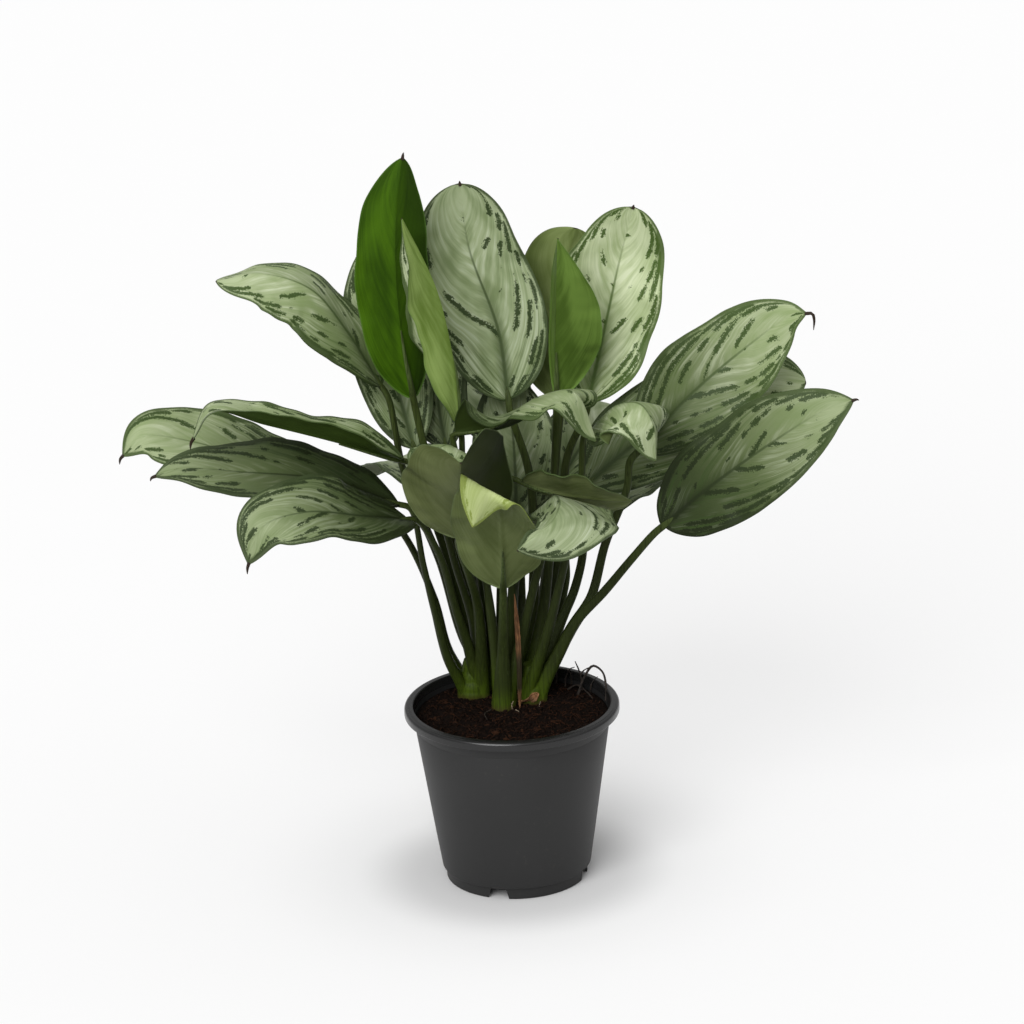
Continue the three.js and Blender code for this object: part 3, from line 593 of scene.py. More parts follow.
def shoots(material):
    """Each shoot as one piece: its cane and the stalks that grow from it."""
    for number, (key, spot) in enumerate(SHOOTS.items()):
        shape = Shape()
        cane(shape, spot, number)
        for index, leaf in enumerate(LEAVES):
            if leaf["shoot"] == key:
                stalk(shape, leaf, index)
        dress(shape.build("stalks_" + key, [material], sharp=STALK_SHARP), "stalk", "shoot_" + key)


# ---- pot


def wall_radius(z):
    rise = (z - SKIRT_HEIGHT) / (LIP_FOOT_Z - SKIRT_HEIGHT)
    return WALL_FOOT_RADIUS + (WALL_TOP_RADIUS - WALL_FOOT_RADIUS) * rise


def arc(r, z, radius, start, end, steps):
    """Points of a round edge in the profile, from one angle to another about its centre."""
    turns = [math.radians(start + (end - start) * i / steps) for i in range(steps + 1)]
    return [(r + radius * math.cos(a), z + radius * math.sin(a)) for a in turns]


def lathe(profile, sides):
    """The points and faces of a profile of (radius, height) turned about Z, closed on the axis."""
    points = [(0, 0, profile[0][1])]
    for r, z in profile[1:-1]:
        points += [(r * math.cos(a), r * math.sin(a), z) for a in np.arange(sides) * 2 * math.pi / sides]
    points.append((0, 0, profile[-1][1]))
    rings = len(profile) - 2

    def ring(i, k):
        return 1 + i * sides + k % sides

    faces = [(0, ring(0, k + 1), ring(0, k)) for k in range(sides)]
    for i in range(rings - 1):
        faces += [(ring(i, k), ring(i, k + 1), ring(i + 1, k + 1), ring(i + 1, k)) for k in range(sides)]
    faces += [(len(points) - 1, ring(rings - 1, k), ring(rings - 1, k + 1)) for k in range(sides)]
    return points, faces


POT_SIDES = 168
LIP_ROUND = 3.4
RIM_ROUND = 1.4
EDGE_ROUND = 0.6
BAND_Z = 143.5
BAND_DEPTH = 0.25
POT_SHARP = 32


def pot_profile():
    """The shell: floor disc, raised channel, skirt, tapered wall with a faint band, and the rolled lip."""
    foot_r, band_r = wall_radius(SKIRT_HEIGHT), wall_radius(BAND_Z)
    rim_z = POT_HEIGHT - WALL
    rim_r, lip_in = wall_radius(rim_z), LIP_RADIUS - WALL
    return [
        (0, 0), (FLOOR_DISC_RADIUS - 1, 0), (FLOOR_DISC_RADIUS, 0.2),
        (CHANNEL_RADIUS - 0.4, CHANNEL_Z - 0.3), (CHANNEL_RADIUS, CHANNEL_Z),
        (SKIRT_INSIDE - 0.5, CHANNEL_Z), (SKIRT_INSIDE, CHANNEL_Z - 0.5), (SKIRT_INSIDE, EDGE_ROUND),
        *arc(SKIRT_INSIDE + EDGE_ROUND, EDGE_ROUND, EDGE_ROUND, 180, 270, 4),
        *arc(SKIRT_RADIUS - EDGE_ROUND, EDGE_ROUND, EDGE_ROUND, 270, 360, 4),
        (SKIRT_RADIUS, SKIRT_HEIGHT - 0.6), (SKIRT_RADIUS + 0.2, SKIRT_HEIGHT - 0.15),
        (foot_r - 0.5, SKIRT_STEP_Z - 0.5), (foot_r, SKIRT_STEP_Z),
        *((wall_radius(z), z) for z in (40, 75, 110, BAND_Z - 0.7)),
        (band_r - BAND_DEPTH, BAND_Z), (band_r + 0.1, BAND_Z + 0.7),
        (rim_r - 0.1, rim_z - 0.6), (rim_r + 0.5, rim_z), (lip_in - 0.5, rim_z), (lip_in, rim_z - 0.5),
        (lip_in, LIP_FOOT_Z + 0.4), (lip_in + 0.4, LIP_FOOT_Z),
        *arc(LIP_RADIUS - EDGE_ROUND, LIP_FOOT_Z + EDGE_ROUND, EDGE_ROUND, -90, 0, 4),
        *arc(LIP_RADIUS - LIP_ROUND, POT_HEIGHT - LIP_ROUND, LIP_ROUND, 0, 90, 9),
        *arc(wall_radius(POT_HEIGHT) - WALL + RIM_ROUND, POT_HEIGHT - RIM_ROUND, RIM_ROUND, 90, 180, 5),
        *((wall_radius(z) - WALL, z) for z in (158, 130, 90, 50)),
        (foot_r - WALL, SKIRT_STEP_Z), (SKIRT_INSIDE, CHANNEL_Z + WALL), (CHANNEL_RADIUS, CHANNEL_Z + WALL),
        (FLOOR_DISC_RADIUS, WALL), (0, WALL),
    ]


def notch_cutter(turn):
    """A tapered block that opens the foot of the skirt."""
    half_foot, half_top = NOTCH_FOOT_WIDTH / 2, NOTCH_TOP_WIDTH / 2
    corners = [(-half_foot, -1), (half_foot, -1), (half_top, NOTCH_HEIGHT), (-half_top, NOTCH_HEIGHT)]
    shape = Shape()
    points = [(x, -r, z) for r in (NOTCH_INNER_RADIUS, WALL_FOOT_RADIUS + 4) for x, z in corners]
    faces = [(3, 2, 1, 0), (4, 5, 6, 7)] + [(k, (k + 1) % 4, 4 + (k + 1) % 4, 4 + k) for k in range(4)]
    spin = Matrix.Rotation(math.radians(turn), 3, "Z")
    shape.add([spin @ Vector(p) for p in points], faces)
    return shape.build("notch_cutter", [])


def carve(piece, cutters):
    """Cuts the cutters out of piece, and throws them away."""
    for cutter in cutters:
        cut = piece.modifiers.new("cut", "BOOLEAN")
        cut.operation = "DIFFERENCE"
        cut.solver = "EXACT"
        cut.object = cutter
    graph = bpy.context.evaluated_depsgraph_get()
    carved = bpy.data.meshes.new_from_object(piece.evaluated_get(graph))
    piece.modifiers.clear()
    piece.data = carved
    for cutter in cutters:
        bpy.data.objects.remove(cutter)


def pot(material):
    """The nursery pot: the turned shell, with the notches cut from its skirt."""
    shape = Shape()
    shape.add(*lathe(pot_profile(), POT_SIDES))
    piece = shape.build("nursery_pot", [material])
    carve(piece, [notch_cutter(turn) for turn in NOTCH_TURNS])
    piece.data.shade_smooth()
    piece.data.set_sharp_from_angle(angle=math.radians(POT_SHARP))
    dress(piece, "pot", "pot")


# ---- soil and what lies on it

SOIL_SIDES = 180
SOIL_RINGS = 58
CRUMBS = 1500
SMALL_CRUMB = 0.5, 1.3
LARGE_CRUMB = 1.4, 2.6
SMALL_SHARE = 0.85
CRUMB_STRETCH = (0.7, 1.6), (0.6, 1.1), (0.5, 0.9)
FIBRES = 420
FIBRE_RINGS = 7
FIBRE_SIDES = 5


def soil_radius(z):
    return wall_radius(z) - WALL - GAP


def soil_height(x, y):
    """The uneven top of the soil: broad lumps, crumbs on them, and a slight dip at the pot's wall."""
    broad = (math.sin(x * 0.11 + 1.3) * math.cos(y * 0.09 - 0.4) + 0.6 * math.sin(x * 0.23 - y * 0.19)) * 1.3
    fine = 1.1 * wander(x * 0.21, y * 0.21, 3.3) + 0.8 * wander(x * 0.6, y * 0.6, 8.1)
    reach = math.hypot(x, y) / soil_radius(SOIL_TOP)
    calm = max(0.0, min(1.0, 5 * (1 - reach)))
    return SOIL_TOP + (broad + 1.2 * fine) * calm - 0.5 * (1 - calm)


def soil_body(material):
    """The root ball, closed below as the pot holds it, with a finely broken top."""
    channel = CHANNEL_Z + WALL + 2 * GAP
    top = soil_radius(SOIL_TOP) - 2 * GAP
    profile = [(0, WALL + GAP), (FLOOR_DISC_RADIUS - GAP, WALL + GAP), (CHANNEL_RADIUS - GAP, channel),
               (SKIRT_INSIDE - GAP, channel), (soil_radius(SKIRT_HEIGHT) - GAP, SKIRT_STEP_Z + GAP),
               (top, SOIL_TOP - 2)]
    profile += [(top * (1 - i / SOIL_RINGS), SOIL_TOP) for i in range(SOIL_RINGS)] + [(0, SOIL_TOP)]
    points, faces = lathe(profile, SOIL_SIDES)
    points = [(x, y, soil_height(x, y) if z >= SOIL_TOP else z) for x, y, z in points]
    shape = Shape()
    shape.add(points, faces)
    dress(shape.build("soil_ball", [material]), "soil", "soil")


def free_spot(draw, margin):
    """A random place on the soil that no cane covers."""
    while True:
        radius = (soil_radius(SOIL_TOP) - margin) * math.sqrt(draw.random())
        turn = draw.uniform(0, 2 * math.pi)
        x, y = radius * math.cos(turn), radius * math.sin(turn)
        if all(math.hypot(x - s["x"], y - s["y"]) > s["radius"] * 0.9 for s in SHOOTS.values()):
            return x, y


ICO = ((0, 1, 1.618), (0, -1, 1.618), (1, 1.618, 0), (-1, 1.618, 0), (1.618, 0, 1), (-1.618, 0, 1))


def lump_points():
    """The corners and faces of a small round lump."""
    corners = np.array([p for q in ICO for p in (q, tuple(-c for c in q))], float)
    corners /= np.linalg.norm(corners[0])
    faces = []
    for a in range(12):
        for b in range(a + 1, 12):
            for c in range(b + 1, 12):
                trio = corners[[a, b, c]]
                if max(np.linalg.norm(trio - np.roll(trio, 1, axis=0), axis=1)) < 1.1:
                    out = np.dot(np.cross(trio[1] - trio[0], trio[2] - trio[0]), trio[0]) > 0
                    faces.append((a, b, c) if out else (a, c, b))
    return corners, faces


def crumbs(material):
    """Crumbs of peat and bark that lie on the soil."""
    draw = random.Random(11)
    corners, faces = lump_points()
    shape = Shape()
    for _ in range(CRUMBS):
        x, y = free_spot(draw, 3)
        size = draw.uniform(*(SMALL_CRUMB if draw.random() < SMALL_SHARE else LARGE_CRUMB))
        stretch = np.array([draw.uniform(*span) for span in CRUMB_STRETCH]) * size
        turn = Matrix.Rotation(draw.uniform(0, math.pi), 3, "Z")
        tilt = Matrix.Rotation(draw.uniform(-0.5, 0.5), 3, "X")
        jitter = np.array([[draw.uniform(0.7, 1.25)] for _ in range(12)])
        points = (corners * jitter * stretch) @ np.array(turn @ tilt).T
        points += (x, y, soil_height(x, y) + size * 0.25)
        shape.add(points, faces, look=[(draw.random(), 0, 0)] * 12)
    dress(shape.build("soil_crumbs", [material]), "soil")


def fibres(material):
    """Short peat fibres, thin and bent, that lie among the crumbs."""
    draw = random.Random(23)
    shape = Shape()
    for _ in range(FIBRES):
        x, y = free_spot(draw, 8)
        turn = draw.uniform(0, 2 * math.pi)
        step = draw.uniform(1.2, 3.4)
        points = []
        for k in range(4):
            height = 0.9 + draw.uniform(0, 1.6) * math.sin(math.pi * k / 3)
            points.append((x, y, soil_height(x, y) + height))
            turn += draw.uniform(-0.7, 0.7)
            x += step * math.cos(turn)
            y += step * math.sin(turn)
        if math.hypot(x, y) > soil_radius(SOIL_TOP) - 3:
            continue
        radius = draw.uniform(0.16, 0.42)
        shares, radii = np.linspace((0, radius), (1, radius * 0.4), FIBRE_RINGS).T
        rings = tube_rings(Path(points), shares, radii, np.array([0.0, 0.3, 1.0]), sides=FIBRE_SIDES)
        add_tube(shape, rings, look=[(draw.random(), 0, 0)] * FIBRE_RINGS * FIBRE_SIDES)
    dress(shape.build("soil_fibres", [material]), "soil")


# Bare roots and twigs on the soil, most of them standing up at its back right.
BARE_ROOTS = (
    (((59, 41, 150), *ROOT_PATH[1:], (83, 19, 152)), 1.25, 0.8),
    (((48, 60, 150), (49, 60, 160), (53, 59, 168), (57, 58, 170)), 0.9, 0.4),
    (((70, 46, 150), (72, 45, 160), (77, 46, 165)), 0.7, 0.35),
    (((54, 66, 150), (53, 66, 161), (49, 65, 166)), 0.8, 0.4),
    (((40, 68, 150), (40.2, 67, 164), (39.4, 66, 172.5)), 1.5, 0.5),
    (((63, 51, 150), (62, 53, 164), (60.5, 54, 169), (57.5, 54, 177)), 1.0, 0.5),
    (((62, 53, 164), (65, 53.5, 168.2), (70, 54, 170.8)), 0.8, 0.4),
    (((50, 52, 151), (58, 50, 156), (66, 40, 154), (72, 26, 152)), 0.9, 0.5),
    (((-18, 6, 153), (-24, -6, 154.2), (-22, -18, 153.4)), 0.7, 0.35),
)
PALE_ROOTS = (
    (((0.5, 7, 151), (0.2, 4.5, 158), (1.4, 4, 161)), 0.8, 0.4),
    (((24, 15, 151), (25.5, 12.5, 156.5)), 0.6, 0.35),
    (((2.6, 7.5, 151), (3.4, 3, 153.2), (6.5, -1, 153)), 0.55, 0.3),
)


def roots(name, table, material):
    """Knotty roots, each from a table's points, foot radius and tip radius."""
    shape = Shape()
    for points, foot, tip in table:
        shares = np.linspace(0, 1, 30)
        radii = foot + (tip - foot) * shares
        radii = radii * (1 + 0.12 * np.sin(17 * shares + foot))
        rings = tube_rings(Path(points), shares, radii, np.array([0.1, 1.0, 0.1]), sides=10)
        add_tube(shape, rings)
    dress(shape.build(name, [material]), "soil")


# The dried leaf sheath beside the front stalk, and the scrap of one at the right shoot's foot.
SHEATH = with_usual(heading=-90, width=5, full=1.2, fold=(30, 20, 10), curl=(20, 10, 0),
                    rib=((7, 9, SOIL_TOP + 1.25), (7.5, 9, 190), (7, 8, 230), (5.5, 5, 262)))
SCRAP = with_usual(heading=-75, width=9, full=0.6, fold=(-12, -12, -12), curl=(-10, -20, -10),
                   rib=((6, 21, 154), (11, 18.6, 155), (17, 18.2, 157), (24, 21, 161)))


STRIP_ROWS = 70
STRIP_HALF_COLUMNS = 7
STRIP_THICKNESS = 0.6
STRIP_SHARP = 60


def papery(name, leaf, material, node=None):
    """A thin, dry strip with a rough margin and folds along it."""
    half = STRIP_HALF_COLUMNS
    u = np.linspace(0, 1, STRIP_ROWS)
    v = np.linspace(0, 1, half + 1)
    path = Path(leaf["rib"])
    centre = path.at(u)
    _, side, up = rib_frame(path, leaf, u)
    grid = np.zeros((STRIP_ROWS, 2 * half + 1, 3))
    grid[:, half] = centre
    for left, sign in ((True, 1), (False, -1)):
        out, rise, _ = half_blade(leaf, u, v, left, 0)
        for j in range(1, half + 1):
            ragged = [1 + 0.16 * v[j] * wander(30 * a, sign * 3.0, 5.0) for a in u]
            reach = (out[:, j - 1] * ragged)[:, None]
            lift = (0.25 * rise[:, j - 1] + 0.35 * np.sin(v[j] * 9 + 5 * u))[:, None]
            grid[:, half + sign * j] = centre + sign * side * reach + up * lift
    points, upper, lower, strip = sheet(grid, STRIP_THICKNESS / 2, STRIP_THICKNESS / 2)
    shape = Shape()
    shape.add(points, upper + lower + strip)
    dress(shape.build(name, [material], sharp=STRIP_SHARP), "dry_sheath", node)
# ---- finishes


def srgb(r, g, b):
    """A colour from 8-bit screen values, as linear red, green, blue and alpha."""
    linear = []
    for channel in (r, g, b):
        share = channel / 255
        linear.append(share / 12.92 if share <= 0.04045 else ((share + 0.055) / 1.055) ** 2.4)
    return (*linear, 1)


def grey(value):
    return (value, value, value, 1)


def joined(operation, swapped=False):
    """A method that joins a wire and another value in a Math node."""
    def join(self, other):
        pair = (other, self) if swapped else (self, other)
        return self.graph.math(operation, *pair)
    return join


class Wire:
    """A value on its way through a material's nodes, with the usual arithmetic."""

    def __init__(self, graph, socket):
        self.graph = graph
        self.socket = socket

    def __abs__(self):
        return self.graph.math("ABSOLUTE", self)

    __add__ = __radd__ = joined("ADD")
    __mul__ = __rmul__ = joined("MULTIPLY")
    __truediv__ = joined("DIVIDE")
    __sub__ = joined("SUBTRACT")
    __rsub__ = joined("SUBTRACT", swapped=True)


class Graph:
    """The nodes of a material or a world, with a short call for each kind used here."""

    def __init__(self, name, kind="materials", **shader):
        self.owner = getattr(bpy.data, kind).new(name)
        self.owner.use_nodes = True
        self.nodes = self.owner.node_tree.nodes
        self.links = self.owner.node_tree.links
        self.shader = self.nodes["Background" if kind == "worlds" else "Principled BSDF"]
        self.shade(**shader)

    def shade(self, **inputs):
        """Feeds the shader, and gives the material or the world back."""
        for key, value in inputs.items():
            self.put(self.shader.inputs[key.replace("_", " ")], value)
        return self.owner

    def put(self, socket, value):
        if isinstance(value, Wire):
            self.links.new(value.socket, socket)
        else:
            socket.default_value = value

    def node(self, kind, inputs, output=0, **settings):
        """One output of a new node with these inputs and settings."""
        node = self.nodes.new("ShaderNode" + kind)
        for name, setting in settings.items():
            setattr(node, name, setting)
        for key, value in inputs.items():
            self.put(node.inputs[key], value)
        return Wire(self, node.outputs[output])

    def math(self, operation, a, b=0.0):
        return self.node("Math", {0: a, 1: b}, operation=operation)

    def over(self, value, divisor, least):
        """value / divisor, with the divisor kept above least."""
        return self.math("DIVIDE", value, self.math("MAXIMUM", divisor, least))

    def step(self, value, low, high, to_low=0, to_high=1, kind="SMOOTHSTEP"):
        """From to_low, where value is low, to to_high, where it is high."""
        inputs = {"Value": value, "From Min": low, "From Max": high, "To Min": to_low, "To Max": to_high}
        return self.node("MapRange", inputs, interpolation_type=kind)

    def fall(self, value, low, high):
        """1 up to low, and down to 0 at high."""
        return self.step(value, low, high, 1, 0)

    def mix(self, share, a, b):
        return self.node("Mix", {0: share, 6: a, 7: b}, 2, data_type="RGBA")

    def layers(self, base, *coats):
        """A base under coats, each of them a share and a colour."""
        for share, colour in coats:
            base = self.mix(share, base, colour)
        return base

    def split(self, vector):
        node = self.nodes.new("ShaderNodeSeparateXYZ")
        self.put(node.inputs[0], vector)
        return [Wire(self, socket) for socket in node.outputs]

    def attribute(self, name):
        return self.split(self.node("Attribute", {}, "Vector", attribute_name=name))

    def place(self):
        """The point's own place in the part's frame, in metres."""
        return self.node("TexCoord", {}, "Object")

    def noise(self, at, scale=1.0, detail=2.0, rough=0.5):
        """Noise from about 0.2 to 0.8, at a place or at three numbers."""
        if isinstance(at, tuple):
            at = self.node("CombineXYZ", dict(enumerate(at)))
        inputs = {"Vector": at, "Scale": scale, "Detail": detail, "Roughness": rough}
        return self.node("TexNoise", inputs, "Fac")

    def bump(self, height, distance, strength):
        self.shade(Normal=self.node("Bump", {"Height": height, "Distance": distance, "Strength": strength}))


CHAINS = 5.5
CHAIN_WIDTH = 2.4
CHAIN_STEP = 9
CHAIN_SHIFT = 0.23
MARK_GRAIN = 2.6
RIM_GRAIN = 3
FINE_VEINS = 46
USUAL_LENGTH = 190
DRIED_FROM = 0.994
DRIED = srgb(48, 38, 28)


class BladeGraph(Graph):
    """A blade's material, with where a point lies on the blade and how that blade looks.

    t and s are the point's shares across and along, inset and across its millimetres from the margin
    and from the rib, vein the place of its vein, and run how fast that changes, in veins a millimetre.
    """

    def __init__(self, name, **shader):
        super().__init__(name, **shader)
        self.t, self.s, self.inset = self.attribute("blade")
        self.seed, self.marks, self.tone = self.attribute("look")
        # bright is partly painted light shining through the blade; the third value of below darkens the
        # blade, partly its own darker green and partly painted shade.
        self.bright, self.yellow, self.darkening_and_shade = self.attribute("below")
        self.a = abs(self.t)
        self.half = self.math("SIGN", self.t)
        reach = self.over(self.inset, 1 - self.a, 0.02)
        spread = 1 - self.a * VEIN_REACH
        slope = self.over(VEIN_REACH / VEIN_RUN, spread * reach, 0.05)
        self.across = self.a * reach
        self.vein = self.s + self.math("LOGARITHM", spread, math.e) * (1 / VEIN_RUN)
        self.run = self.math("SQRT", slope * slope + USUAL_LENGTH**-2)
        self.fine = self.math("SINE", self.vein * (FINE_VEINS * 2 * math.pi))


def upper_marks(g):
    """Where the dark marks lie: dashes along the veins, stripes near the base and margin, and the rim."""
    drift = g.noise((g.t * 1.6, g.s * 3.4, g.seed))
    vein = g.vein + (drift - 0.5) * 0.1
    lane = vein * CHAINS + g.half * CHAIN_SHIFT + g.seed
    off_centre = g.over(abs(g.math("FRACT", lane) - 0.5) * (1 / CHAINS), g.run, 0.002)
    ragged = g.noise((vein * 44, g.s * 40, g.seed + g.half), detail=3, rough=0.7)
    speck = g.noise(g.place(), 800, rough=0.6)
    number = g.math("FLOOR", lane)
    beat = g.noise((number * 7.31 + g.half * 3.7, g.s * CHAIN_STEP, g.seed), detail=1)
    side = g.step(g.a, 0.25, 0.8)
    foot = g.fall(g.s, 0.1, g.darkening_and_shade * 0.35 + 0.5)
    tip = g.step(g.s, 0.5, 0.9)
    near_rim = g.step(g.inset, 3.2, 4.6) * g.fall(g.inset, 8, 12)
    limit = 0.62 - g.marks * 0.1 - side * 0.05 - near_rim * 0.05 - foot * side * 0.03 + tip * (1 - side) * 0.1
    strong = g.step(beat - limit, -0.03, 0.08)
    mark = (strong - off_centre * (1 / CHAIN_WIDTH) + (ragged - 0.5) * MARK_GRAIN
            + (speck - 0.5) * MARK_GRAIN)
    dashes = g.step(mark, -0.02, 0.35) * g.step(strong, 0.04, 0.3) * g.step(g.inset, 2.2, 4.2)
    streak = g.noise((vein * 26, g.a * 2, g.seed + 4), detail=3, rough=0.6)
    stripes = g.step(streak, 0.5, 0.66) * g.step(foot * 0.9 + side * 0.35, 0.35, 1.1)
    uneven = g.noise((g.half * 3, g.s * 4.5, g.seed + 7))
    edge = g.inset + (ragged - 0.5) * RIM_GRAIN + (speck - 0.5) * RIM_GRAIN
    rim = g.fall(edge / g.step(uneven, 0.44, 0.66, 2.4, 6.5), 0.6, 1.3)
    return foot, ragged, streak, dashes, stripes, rim


def upper_finish():
    """Silver between the veins, with chains of dark green dashes along them and a dark margin."""
    g = BladeGraph("leaf_upper", Specular_IOR_Level=0.14)
    foot, ragged, streak, dashes, stripes, rim = upper_marks(g)
    midrib = g.fall(g.across / (1.4 - g.s), 0.5, 2) * g.fall(g.s, 0.5, 0.95)
    glow = g.fall(g.across, 0.5, 9) * g.fall(g.s, 0.1, 0.7)
    cloud = g.noise((g.t * 2.2, g.s * 5, g.seed + 9))
    # Painted shade, partly the base's own darker green: shaded turns the silver dark green on leaves deep in
    # the plant, most towards the base, and gloom turns the marks near black at the base.
    shaded = g.darkening_and_shade * g.step(g.s, 0.3, 0.95, 0.9, 0.45)
    gloom = g.darkening_and_shade * foot * 0.8

    silver = g.mix(shaded, g.mix(g.tone, srgb(160, 173, 135), srgb(212, 224, 180)), srgb(116, 130, 86))
    green = g.mix(g.tone, srgb(110, 126, 84), srgb(136, 160, 92))
    dark = g.mix(g.tone, srgb(44, 56, 32), srgb(66, 92, 32))
    pale = g.mix(g.tone, srgb(194, 204, 176), srgb(232, 240, 206))
    # Pale streaks: partly the leaf's own silver, partly painted sheen; fewer in the painted shade at the
    # base.
    pale_streak_and_sheen = (g.step(streak, 0.54, 0.28) * g.step(cloud, 0.62, 0.38) * (1 - foot * g.darkening_and_shade * 0.55)
             * g.fall(g.s, 0.72, 1))

    def marked(greenness):
        return g.mix(gloom, g.mix(greenness, dark, green), srgb(28, 36, 14))

    base = g.layers(
        silver,
        (g.step(streak * 0.6 + cloud * 0.7, 0.52, 0.86, 0, 0.85 - g.tone * 0.3), green),
        # Darker green at the base: partly the leaf's own colour, partly painted shade on leaves deep in the
        # plant; the stripes darken with it too.
        (foot * (g.darkening_and_shade * 0.55 + 0.3), g.mix(g.darkening_and_shade, green, srgb(46, 58, 28))),
        (pale_streak_and_sheen * (0.75 - g.darkening_and_shade * 0.35), pale),
        (stripes * (g.darkening_and_shade * 0.3 + 0.65), g.mix(g.darkening_and_shade * 0.35 + 0.55, green, dark)),
        (glow * 0.75, marked(0.25)),
        (dashes * 0.95, marked(0)),
        (rim * 0.9, marked(0.12)),
        (midrib * 0.85, marked(0.2)),
        (g.step(g.s, DRIED_FROM, 1), DRIED),
        (g.step(g.tone, 0.93, 1, 0, 0.6), srgb(158, 172, 84)),
    )
    g.bump(g.fine * 0.12 + ragged * 0.3 + streak * 0.7, 0.0003, 0.5)
    return g.shade(Base_Color=base, Roughness=cloud * 0.12 + 0.42 - dashes * 0.04)


def under_finish():
    """The plain underside: olive, bright green or yellow-green, with a soft rib and faint veins."""
    g = BladeGraph("leaf_underside", Specular_IOR_Level=0.08)
    streak = g.noise((g.vein * 18, g.a * 1.6, g.seed), rough=0.6)
    cloud = g.noise((g.t * 1.6, g.s * 2.4, g.seed + 2), detail=3)
    # Painted light: the bright green stands partly for light shining through the thin blade. light and shade
    # are a lighter and a darker copy of the underside colour.
    light = g.mix(g.bright, srgb(122, 127, 90), srgb(70, 106, 14))
    shade = g.mix(g.bright, srgb(98, 105, 66), srgb(42, 70, 6))
    shade = g.mix(g.yellow, shade, srgb(104, 128, 56))
    base = g.layers(
        g.mix(g.yellow, light, srgb(146, 168, 96)),
        # Painted shade: the third value of below turns the underside to the darker copy where a half lies in
        # shade; the streaks and the rib take the darker copy as the leaf's own mottle.
        (g.darkening_and_shade, shade),
        (g.step(streak * 0.5 + cloud, 0.5, 1), shade),
        (g.fall(g.across, 0.6, 2.6) * 0.3, shade),
        # More painted shade: near black where that value is high.
        (g.darkening_and_shade * 0.5, srgb(28, 40, 8)),
        (g.fall(g.inset, 0.3, 1.6) * 0.5, g.mix(g.bright, srgb(112, 124, 90), srgb(96, 130, 60))),
        (g.step(g.s, DRIED_FROM, 1), DRIED),
    )
    g.bump(g.fine * 0.15 + streak * 0.5, 0.0003, 0.4)
    return g.shade(Base_Color=base, Roughness=cloud * 0.1 + 0.5)


def stalk_finish():
    """Dark green stalks with long streaks, greener at the foot and paler where they meet the blade."""
    g = Graph("stalk_green", Specular_IOR_Level=0.12)
    up, seed, _ = g.attribute("stalk")
    x, y, z = g.split(g.place())
    streak = g.noise((x * 700, y * 700, z * 16 + seed), detail=3, rough=0.6)
    flecks = g.noise((x * 700, y * 700, z * 130), rough=0.7)
    base = g.layers(
        srgb(66, 84, 16),
        (g.step(up, 0.01, 0.24), srgb(44, 53, 20)),
        (g.step(up, 0.55, 1), srgb(62, 74, 34)),
        (g.step(up, 1, 1.5), srgb(84, 100, 56)),
        (g.step(streak, 0.42, 0.68, 0, 0.6), srgb(28, 35, 12)),
        (g.step(flecks, 0.64, 0.74, 0, 0.3), srgb(88, 102, 62)),
        (g.step(z, (SOIL_TOP + 7) * MM, (SOIL_TOP - 1) * MM, 0, 0.75), srgb(58, 46, 26)),
    )
    g.bump(streak + flecks * 0.4, 0.0004, 0.5)
    return g.shade(Base_Color=base, Roughness=streak * 0.16 + 0.42)


def pot_finish():
    """Dark grey moulded plastic: a fine grain, faint rub marks and dust, glossier on the lip."""
    g = Graph("pot_plastic", Specular_IOR_Level=0.45)
    place = g.place()
    x, y, z = g.split(place)
    grain = g.noise(place, 2600, rough=0.6)
    cloud = g.noise(place, 16, 3)
    scuff = g.noise((g.math("ARCTAN2", y, x) * 9, 0, z * 420), detail=4, rough=0.7)
    dust = g.step(g.noise(place, 190, 4, 0.7), 0.58, 0.74) * g.step(cloud, 0.4, 0.62)
    base = g.layers(
        srgb(27, 27, 27),
        (g.step(cloud, 0.3, 0.7), srgb(32, 32, 32)),
        (g.step(scuff, 0.66, 0.76, 0, 0.2), srgb(72, 72, 72)),
        (dust * 0.12, srgb(104, 100, 92)),
    )
    lip = g.step(z, (LIP_FOOT_Z - 0.6) * MM, (LIP_FOOT_Z + 0.6) * MM)
    g.bump(grain * (1 - lip * 0.7) + scuff * 0.3, 0.00012, 0.5)
    return g.shade(Base_Color=base, Roughness=0.5 - lip * 0.28 + cloud * 0.1 + dust * 0.1)


def soil_finish(name, dark, light, scale):
    """Peat: dark, matt and uneven, with redder and paler grains."""
    g = Graph(name, Specular_IOR_Level=0.05, Roughness=0.95)
    place = g.place()
    grain = g.noise(place, scale, 4, 0.7)
    redder = g.step(g.attribute("look")[0] + g.noise(place, 60) * 0.4, 0.95, 1.3, 0, 0.6)
    g.bump(grain, 0.0008, 0.8)
    return g.shade(Base_Color=g.layers(dark, (g.step(grain, 0.42, 0.68), light), (redder, srgb(72, 46, 30))))


def root_finish(name, dark, light):
    """Bare root: one colour banded with another, and wrinkled."""
    g = Graph(name, Specular_IOR_Level=0.3)
    bands = g.noise(g.place(), 700, 3, 0.6)
    g.bump(bands, 0.0004, 0.7)
    return g.shade(Base_Color=g.mix(g.step(bands, 0.35, 0.68), dark, light), Roughness=bands * 0.2 + 0.6)


